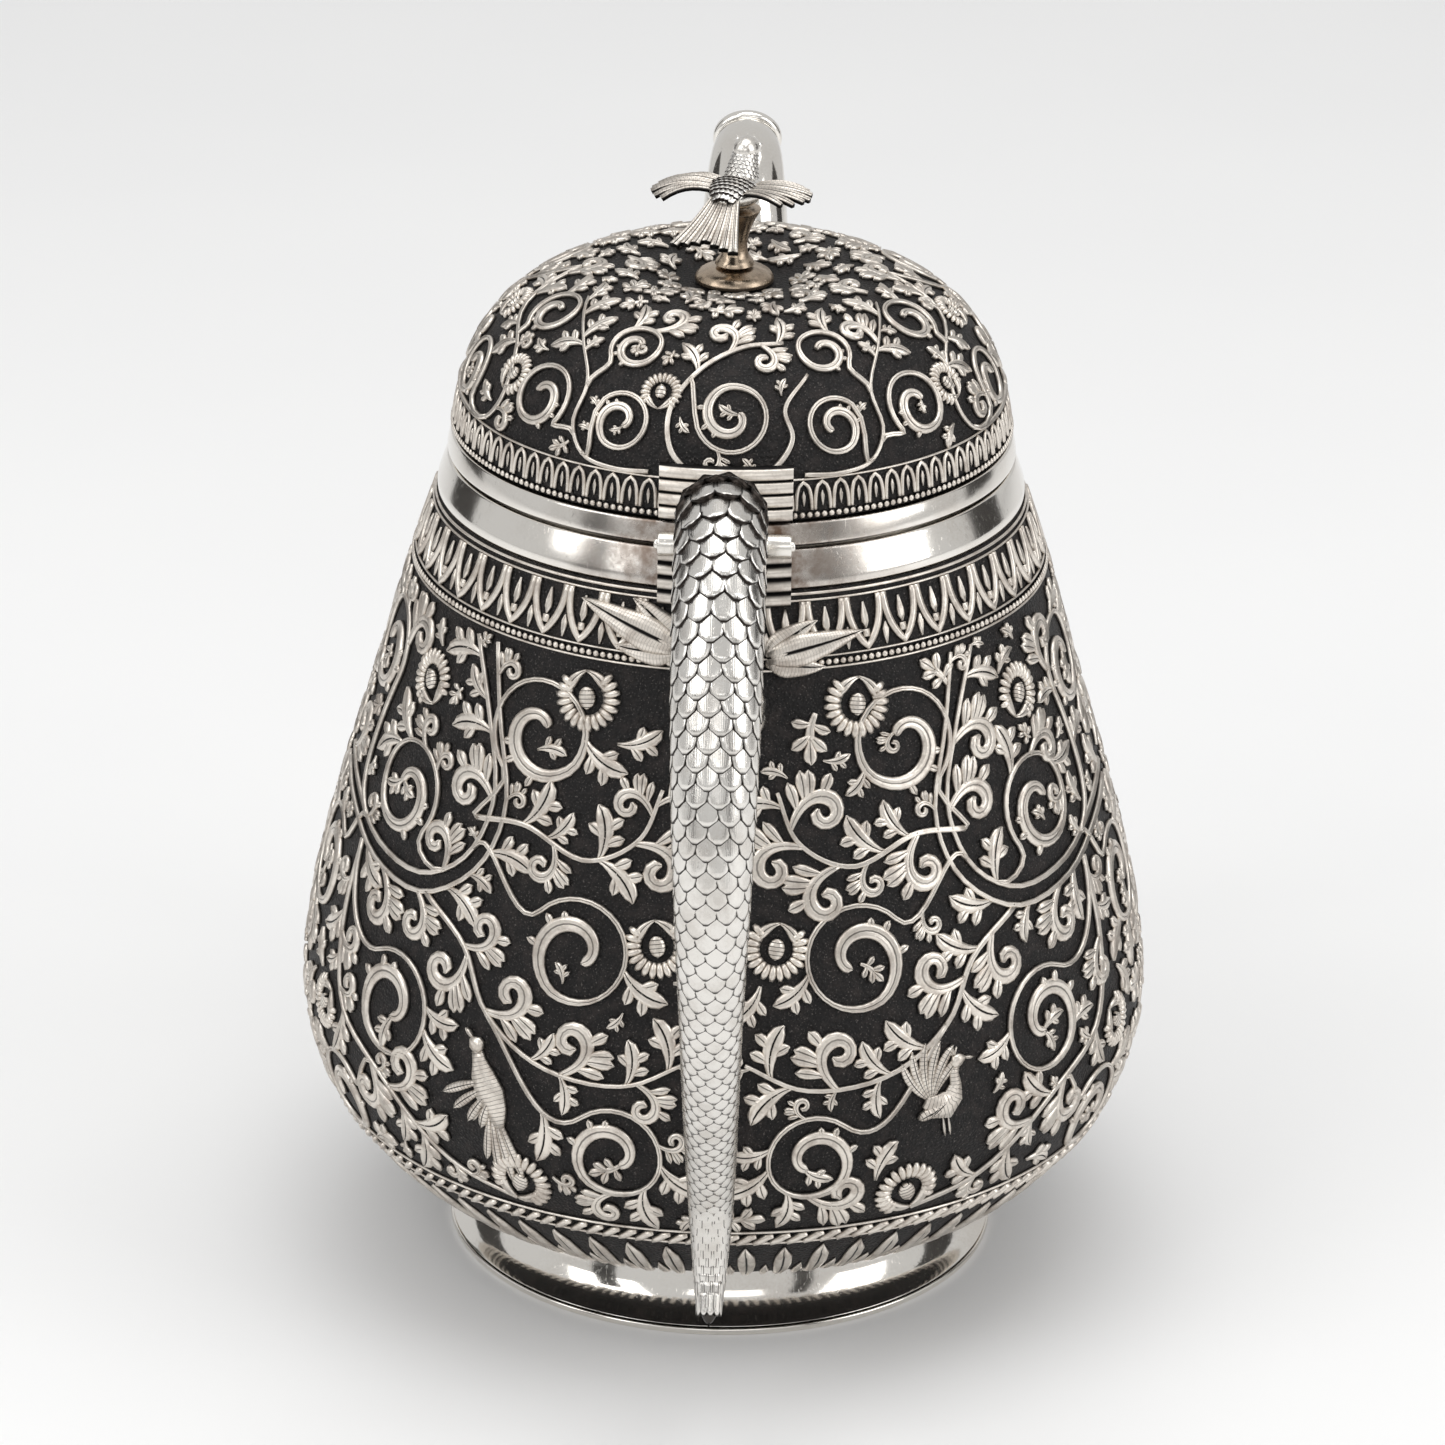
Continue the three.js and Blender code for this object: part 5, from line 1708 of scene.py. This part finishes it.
def joined(name, pieces, voxel):
    """Pieces that overlap, melted into one skin."""
    first = pieces[0]
    with bpy.context.temp_override(active_object=first, selected_editable_objects=pieces,
                                   selected_objects=pieces):
        bpy.ops.object.join()
    first.name = name
    melt = first.modifiers.new("Melt", "REMESH")
    melt.mode, melt.voxel_size = "VOXEL", voxel * MM
    ease = first.modifiers.new("Ease", "SMOOTH")
    ease.factor, ease.iterations = 0.5, 4
    evaluated = first.evaluated_get(bpy.context.evaluated_depsgraph_get())
    mesh = bpy.data.meshes.new_from_object(evaluated)
    first.modifiers.clear()
    first.data = mesh
    mesh.polygons.foreach_set("use_smooth", np.ones(len(mesh.polygons), bool))
    return first


def feather(points, width, thickness, material, name="feather"):
    """A long closed blade along 3-D points, ridged down its middle; +Z is its upper side."""
    points = np.asarray(points, float)
    width = np.broadcast_to(width, len(points))
    ahead = np.gradient(points, axis=0)
    ahead /= np.linalg.norm(ahead, axis=1)[:, None]
    side = np.cross(ahead, (0, 0, 1.0))
    side /= np.linalg.norm(side, axis=1)[:, None]
    up = np.cross(side, ahead)
    section = np.array([(-1, -0.5), (-1, 0.15), (-0.55, 0.5), (-0.14, 0.32), (0, 0.75), (0.14, 0.32),
                        (0.55, 0.5),
                        (1, 0.15), (1, -0.5), (0, -0.5)])
    spots = (points[:, None] + section[None, :, :1] * width[:, None, None] * side[:, None]
             + section[None, :, 1:] * thickness * up[:, None])
    relief = np.tile([0.1, 0.3, 1, 0.15, 1, 0.15, 1, 0.3, 0.1, 0.1], len(points))
    columns = len(section)
    faces = grid_faces(len(points), columns, wrap_columns=True).tolist()
    faces += [list(range(columns)), list(range((len(points) - 1) * columns, len(points) * columns))]
    travelled = np.concatenate([[0], np.cumsum(np.linalg.norm(np.diff(points, axis=0), axis=1))])
    uv = np.stack([np.broadcast_to(section[None, :, 0], spots.shape[:2]),
                   np.broadcast_to(travelled[:, None], spots.shape[:2])], axis=-1).reshape(-1, 2)
    made = mesh_object(name, spots.reshape(-1, 3), faces, material,
                       (("relief", relief), ("vein", np.zeros(len(relief))),
                        ("hatch", np.full(len(relief), 0.35))), uv)
    turn_outwards(made)
    return made


def gathered(name, pieces):
    """Several loose meshes as one object."""
    first = pieces[0]
    with bpy.context.temp_override(active_object=first, selected_editable_objects=pieces,
                                   selected_objects=pieces):
        bpy.ops.object.join()
    first.name = name
    return first


def make_bird():
    silver, feathered = satin_silver(), chased_silver()
    neck = BentTube([(1.0, 1.6, 2.9, 2.6), (2.4, 4.2, 2.4, 2.4), (3.6, 6.6, 1.9, 2.0), (4.2, 8, 1.7, 1.8)])
    pieces = [blob("breast", (3.9, 5.4, 2.3), (0, 0, 2.3), silver),
              tube_mesh("neck", neck, silver, 0, neck.length, 30, 40),
              blob("head", (1.95, 2.5, 1.85), (0, 4.2, 7.65), silver),
              blob("cheek_left", (0.5, 0.5, 0.5), (-1.6, 5.0, 8.2), silver),
              blob("cheek_right", (0.5, 0.5, 0.5), (1.6, 5.0, 8.2), silver)]
    beak = turned("beak", [(0, -1.6), (0.8, -1.6), (0.5, 0.2), (0, 1.6)], silver, 24, soften=0.2)
    beak.data.transform(Matrix.Translation((0, 7.2 * MM, 7.4 * MM)) @ Matrix.Rotation(-math.pi / 2, 4, "X"))
    pieces.append(beak)
    body = joined("bird_body", pieces, 0.13)
    body.data.transform(bird_frame())
    body.data.materials.clear()
    body.data.materials.append(silver)
    settle(body, LID_BODY, "satin_silver", "finial_bird_body")
    make_bird_scales(neck)
    for name, side, droop in (("left", -1, 1.5), ("right", 1, 0.5)):
        blades = []
        for k in range(7):
            turn = 0.95 - 0.3 * k
            length = 6.2 + 3.6 * math.sin(0.55 + 0.36 * k)
            share = np.linspace(0, 1, 8)
            start = np.array([2.4, 1.9 - 0.75 * k])
            away = np.array([math.cos(turn * 0.55), math.sin(turn * 0.55) * 0.55 - 0.16])
            flat = start + share[:, None] * length * away
            lift = 2.9 + 0.12 * k % 0.3 + 0.9 * np.sin(share * 2.2) - droop * share ** 2.4 * 1.4
            points = np.stack([side * flat[:, 0], flat[:, 1], lift], axis=-1)
            blades.append(feather(points, 0.78 * np.sqrt(np.clip(1 - (share - 0.35) ** 2 * 2.0, 0.05, 1)),
                                  0.75,
                                  feathered))
        wing = gathered(f"wing_{name}", blades)
        wing.data.transform(bird_frame())
        settle(wing, LID_BODY, "satin_silver", f"finial_wing_{name}")
    blades = []
    for k in range(7):
        spread = (k - 3) / 3
        share = np.linspace(0, 1, 9)
        length = 10.4 + 1.4 * abs(spread) ** 0.8
        across = 1.5 * spread + (3.1 * spread) * share ** 1.15
        back = -2.9 - length * share * 0.83
        lift = 3.3 - length * share * 0.5 - 0.5 * np.sin(share * 3)
        points = np.stack([across, back, lift], axis=-1)
        blades.append(feather(points, 0.4 + 0.36 * share, 0.95, feathered))
    tail = gathered("tail", blades)
    tail.data.transform(bird_frame())
    settle(tail, LID_BODY, "satin_silver", "finial_tail")


def make_bird_scales(neck):
    """Small round scales up the back of the neck and over the rump."""
    turned_frame = np.array(bird_frame().to_3x3())
    spots, frames, sizes = [], [], []
    rows, columns = 11, 15
    for i in range(rows):
        distance = neck.length * (0.98 - 0.088 * i)
        for k in range(columns):
            turn = 2 * math.pi * (k + 0.5 * (i % 2)) / columns
            spot = neck.place(distance, turn, -0.08)
            ahead = neck.place(distance - 0.3, turn, -0.08) - spot
            out = neck.place(distance, turn, 1.0) - spot
            ahead /= np.linalg.norm(ahead)
            out -= ahead * out.dot(ahead)
            out /= np.linalg.norm(out)
            side = np.cross(ahead, out)
            spots.append(spot)
            frames.append((turned_frame @ np.stack([side, ahead, out], axis=-1)).tolist())
            sizes.append((1.15, 1.15, 1.15))
    for i in range(7):
        for k in range(9):
            x, y = (k - 4 + 0.5 * (i % 2)) * 0.8, 0.6 - i * 0.85
            inside = 1 - (x / 3.9) ** 2 - (y / 5.4) ** 2
            if inside < 0.1:
                continue
            z = 2.3 * math.sqrt(inside)
            out = np.array([x / 3.9 ** 2, y / 5.4 ** 2, z / 2.3 ** 2])
            out /= np.linalg.norm(out)
            ahead = np.array([0, -1.0, 0]) - out * (-out[1])
            ahead /= np.linalg.norm(ahead)
            side = np.cross(ahead, out)
            spots.append(np.array([x, y, z + 2.28]))
            frames.append((turned_frame @ np.stack([side, ahead, out], axis=-1)).tolist())
            sizes.append((1.25, 1.45, 1.25))
    placed = np.array(spots) @ turned_frame.T + np.array([0, 0, BIRD["seat"]])
    unit = scale_unit("neck_scale", scaled_silver(), half_turn=0.3, thickness=0.16)
    scattered("bird_scales", unit, placed, frames, sizes, scaled_silver(), LID_BODY)


def make_finial_base():
    toned = toned_silver()
    button = catmull_rom([(5.8, 152.55, 0), (5.75, 153.1, 0), (5.1, 153.9, 0), (3.6, 154.45, 0),
                          (1.5, 154.7, 0)],
                         np.linspace(0, 1, 20))[:, :2]
    outline = [(1.5, 152.5), (5.6, 152.5), *[tuple(p) for p in button]]
    settle(turned("button", outline, toned, 96, soften=0.05), LID_BODY, "toned_silver", "finial_button")
    stem = catmull_rom([(2.9, 155, 0), (2.7, 155.6, 0), (2, 156.6, 0), (1.85, 158.4, 0), (2.3, 160.4, 0),
                        (3.1, 162.2, 0), (3.8, 163.4, 0)],
                       np.linspace(0, 1, 26))[:, :2]
    outline = [(0, 146.7), (1.2, 146.7), (1.2, 155), *[tuple(p) for p in stem], (0, 163.4)]
    settle(turned("stem", outline, toned, 64, soften=0.05), LID_BODY, "toned_silver", "finial_stem")


# ---- The stage ----------------------------------------------------------------------------------------

def area_light(name, place, target, size, power, colour=(1, 1, 1)):
    data = bpy.data.lights.new(name, "AREA")
    data.shape, data.size, data.size_y = "RECTANGLE", size[0], size[1]
    data.energy, data.color = power, colour
    made = bpy.data.objects.new(name, data)
    bpy.context.scene.collection.objects.link(made)
    made.location = place
    made.rotation_euler = (Vector(target) - Vector(place)).to_track_quat("-Z", "Y").to_euler()
    return made


def dark_card(name, x, y, wide):
    """An upright grey card that the polished silver has something to reflect in."""
    across = np.array([-y, x]) / math.hypot(x, y) * wide / 2
    columns, rows = 5, 7
    share, level = np.meshgrid(np.linspace(-1, 1, columns), np.linspace(0.02, 0.55, rows), indexing="ij")
    points = np.stack([x + share * across[0], y + share * across[1], level], axis=-1).reshape(-1, 3) / MM
    card = mesh_object(name, points, grid_faces(columns, rows), card_grey())
    card.visible_camera = False
    card.visible_shadow = False


def make_stage(look):
    count = 12
    along = np.linspace(-1, 1, count) * 2500
    x, y = np.meshgrid(along, along, indexing="ij")
    floor = mesh_object("floor", np.stack([x, y, np.full(x.shape, -0.05)], axis=-1).reshape(-1, 3),
                        grid_faces(count, count)[:, ::-1].copy(), pale_floor())
    scene = bpy.context.scene
    scene.view_settings.view_transform = "Standard"
    world = bpy.data.worlds.new("studio")
    world.use_nodes = True
    world.node_tree.nodes["Background"].inputs["Color"].default_value = (1, 1, 1, 1)
    world.node_tree.nodes["Background"].inputs["Strength"].default_value = look.ambient
    scene.world = world
    target = (0, 0, 0.08)
    area_light("key_left", (-0.75, -0.55, 0.75), target, (0.7, 0.9), look.key)
    area_light("fill_right", (0.85, -0.35, 0.55), target, (0.5, 0.9), look.fill)
    area_light("top", (0.05, 0.1, 1.2), target, (0.9, 0.9), look.top)
    area_light("front", (0.1, -1.3, 0.75), target, (0.8, 0.35), look.front)
    for number, (x, y, wide) in enumerate(((-0.62, -0.5, 0.16), (0.5, -0.62, 0.12), (0.75, 0.35, 0.3),
                                           (-0.7, 0.45, 0.3))):
        dark_card(f"card_{number + 1}", x, y, wide)
    camera_data = bpy.data.cameras.new("camera")
    camera_data.sensor_width, camera_data.lens = 36, look.lens
    camera_data.shift_x, camera_data.shift_y = look.shift_x, 0.0
    camera_data.clip_start, camera_data.clip_end = 0.01, 20
    camera = bpy.data.objects.new("camera", camera_data)
    scene.collection.objects.link(camera)
    aim = Vector((0, 0, look.aim_height))
    away = look.distance
    camera.location = aim + away * Vector((math.sin(look.azimuth) * math.cos(look.elevation),
                                           -math.cos(look.azimuth) * math.cos(look.elevation),
                                           math.sin(look.elevation)))
    facing = (aim - camera.location).to_track_quat("-Z", "Y").to_matrix().to_4x4()
    camera.rotation_euler = (facing @ Matrix.Rotation(look.roll, 4, "Z")).to_euler()
    scene.camera = camera


# ---- The add-on ---------------------------------------------------------------------------------------

class SilverPotFinish(bpy.types.PropertyGroup):
    bright: bpy.props.FloatVectorProperty(
        name="Bright silver", description="Colour of clean silver", subtype="COLOR",
        default=(0.86, 0.83, 0.78),
        min=0, max=1)
    ground: bpy.props.FloatVectorProperty(
        name="Ground", description="Colour of the blackened ground", subtype="COLOR",
        default=(0.007, 0.0062, 0.0062),
        min=0, max=1)
    tarnish: bpy.props.FloatProperty(
        name="Tarnish", description="How much brown tarnish lies on open silver", subtype="FACTOR",
        default=0.6, min=0,
        max=1)


class SilverPotVessel(bpy.types.PropertyGroup):
    segments: bpy.props.IntProperty(
        name="Segments", description="Facets round the vessel and the lid", default=192, min=24, max=512)
    seed: bpy.props.IntProperty(name="Seed", description="Seed of the scrollwork's leaves", default=11, min=0)


class SilverPotHandle(bpy.types.PropertyGroup):
    columns: bpy.props.IntProperty(
        name="Scales round", description="Scales in each ring round the handle", default=11, min=5, max=24)
    pitch: bpy.props.FloatProperty(
        name="Scale pitch", description="Distance between rings of scales, in millimetres", default=2.1,
        min=0.5,
        max=8)


class SilverPotStage(bpy.types.PropertyGroup):
    azimuth: bpy.props.FloatProperty(
        name="Azimuth", description="The camera's turn round the pot", subtype="ANGLE",
        default=math.radians(1.0))
    elevation: bpy.props.FloatProperty(
        name="Elevation", description="The camera's height as an angle", subtype="ANGLE",
        default=math.radians(22.98))
    roll: bpy.props.FloatProperty(
        name="Roll", description="The camera's turn about its own axis", subtype="ANGLE",
        default=math.radians(0.9))
    distance: bpy.props.FloatProperty(
        name="Distance", description="From the camera to its aim", unit="LENGTH", default=0.9064, min=0.1)
    aim_height: bpy.props.FloatProperty(
        name="Aim height", description="Height on the axis that the camera looks at", unit="LENGTH",
        default=0.082)
    lens: bpy.props.FloatProperty(
        name="Lens", description="Focal length in millimetres", unit="CAMERA", default=149.5, min=10)
    shift_x: bpy.props.FloatProperty(
        name="Shift", description="Sideways lens shift, as a share of the frame", default=-0.0034)
    ambient: bpy.props.FloatProperty(
        name="Ambient", description="Strength of the even light from all sides", default=0.62, min=0)
    key: bpy.props.FloatProperty(name="Key", description="Power of the left softbox", unit="POWER",
                                 default=4.0)
    fill: bpy.props.FloatProperty(name="Fill", description="Power of the right softbox", unit="POWER",
                                  default=3.0)
    top: bpy.props.FloatProperty(name="Top", description="Power of the overhead softbox", unit="POWER",
                                 default=5.0)
    front: bpy.props.FloatProperty(name="Front", description="Power of the front softbox", unit="POWER",
                                   default=1.2)


class SILVERPOT_OT_vessel(bpy.types.Operator):
    """Turn the vessel's shell with its way through to the spout"""
    bl_idname = "silver_pot.vessel"
    bl_label = "Vessel"

    def execute(self, context):
        make_vessel(context.scene.silver_pot_vessel.segments)
        return {"FINISHED"}


class SILVERPOT_OT_rims(bpy.types.Operator):
    """Turn the collar, the lid's band and flange, and the foot with its wire"""
    bl_idname = "silver_pot.rims"
    bl_label = "Rims and Foot"

    def execute(self, context):
        make_rims()
        return {"FINISHED"}


class SILVERPOT_OT_lid(bpy.types.Operator):
    """Turn the lid's dome"""
    bl_idname = "silver_pot.lid"
    bl_label = "Lid"

    def execute(self, context):
        make_lid(context.scene.silver_pot_vessel.segments)
        return {"FINISHED"}


class SILVERPOT_OT_scrollwork(bpy.types.Operator):
    """Chase scrolls, leaves, flowers and birds over the vessel and the lid"""
    bl_idname = "silver_pot.scrollwork"
    bl_label = "Scrollwork"

    def execute(self, context):
        make_scrollwork(context.scene.silver_pot_vessel.seed)
        return {"FINISHED"}


class SILVERPOT_OT_bands(bpy.types.Operator):
    """Lay the bands of beads, tongues, rope, leaves and flutes"""
    bl_idname = "silver_pot.bands"
    bl_label = "Bands"

    def execute(self, context):
        make_bands()
        return {"FINISHED"}


class SILVERPOT_OT_handle(bpy.types.Operator):
    """Build the scaled handle, its socket, its leaves and its lower strut"""
    bl_idname = "silver_pot.handle"
    bl_label = "Handle"

    def execute(self, context):
        form = context.scene.silver_pot_handle
        make_handle(form.columns, form.pitch)
        make_root_leaves()
        return {"FINISHED"}


class SILVERPOT_OT_hinge(bpy.types.Operator):
    """Build the hinge's knuckles, pin and reeded leaves"""
    bl_idname = "silver_pot.hinge"
    bl_label = "Hinge"

    def execute(self, context):
        make_hinge()
        return {"FINISHED"}


class SILVERPOT_OT_spout(bpy.types.Operator):
    """Build the swan-neck spout, its lip, its calyx and its strainer"""
    bl_idname = "silver_pot.spout"
    bl_label = "Spout"

    def execute(self, context):
        make_spout()
        make_strainer()
        return {"FINISHED"}


class SILVERPOT_OT_finial(bpy.types.Operator):
    """Build the button, the stem and the bird with its wings, tail and scales"""
    bl_idname = "silver_pot.finial"
    bl_label = "Finial"

    def execute(self, context):
        make_finial_base()
        make_bird()
        return {"FINISHED"}


class SILVERPOT_OT_stage(bpy.types.Operator):
    """Set the floor, the lights and the camera"""
    bl_idname = "silver_pot.stage"
    bl_label = "Stage"

    def execute(self, context):
        make_stage(context.scene.silver_pot_stage)
        return {"FINISHED"}


OPERATORS = (SILVERPOT_OT_vessel, SILVERPOT_OT_rims, SILVERPOT_OT_lid, SILVERPOT_OT_scrollwork,
             SILVERPOT_OT_bands,
             SILVERPOT_OT_handle, SILVERPOT_OT_hinge, SILVERPOT_OT_spout, SILVERPOT_OT_finial,
             SILVERPOT_OT_stage)
SETTINGS = (("silver_pot_finish", SilverPotFinish), ("silver_pot_vessel", SilverPotVessel),
            ("silver_pot_handle", SilverPotHandle), ("silver_pot_stage", SilverPotStage))


class SILVERPOT_PT_panel(bpy.types.Panel):
    """Settings and steps of the silver pot"""
    bl_label = "Silver Pot"
    bl_idname = "SILVERPOT_PT_panel"
    bl_space_type = "VIEW_3D"
    bl_region_type = "UI"
    bl_category = "Silver Pot"

    def draw(self, context):
        for name, _ in SETTINGS:
            group_settings = getattr(context.scene, name)
            box = self.layout.box()
            for setting in group_settings.__annotations__:
                box.prop(group_settings, setting)
        for operator in OPERATORS:
            self.layout.operator(operator.bl_idname)


def register():
    for name, settings in SETTINGS:
        bpy.utils.register_class(settings)
        setattr(bpy.types.Scene, name, bpy.props.PointerProperty(type=settings))
    for operator in OPERATORS:
        bpy.utils.register_class(operator)
    bpy.utils.register_class(SILVERPOT_PT_panel)


def unregister():
    bpy.utils.unregister_class(SILVERPOT_PT_panel)
    for operator in reversed(OPERATORS):
        bpy.utils.unregister_class(operator)
    for name, settings in reversed(SETTINGS):
        delattr(bpy.types.Scene, name)
        bpy.utils.unregister_class(settings)


def main():
    register()
    for operator in OPERATORS:
        kind, name = operator.bl_idname.split(".")
        getattr(getattr(bpy.ops, kind), name)()


if __name__ == "__main__":
    main()
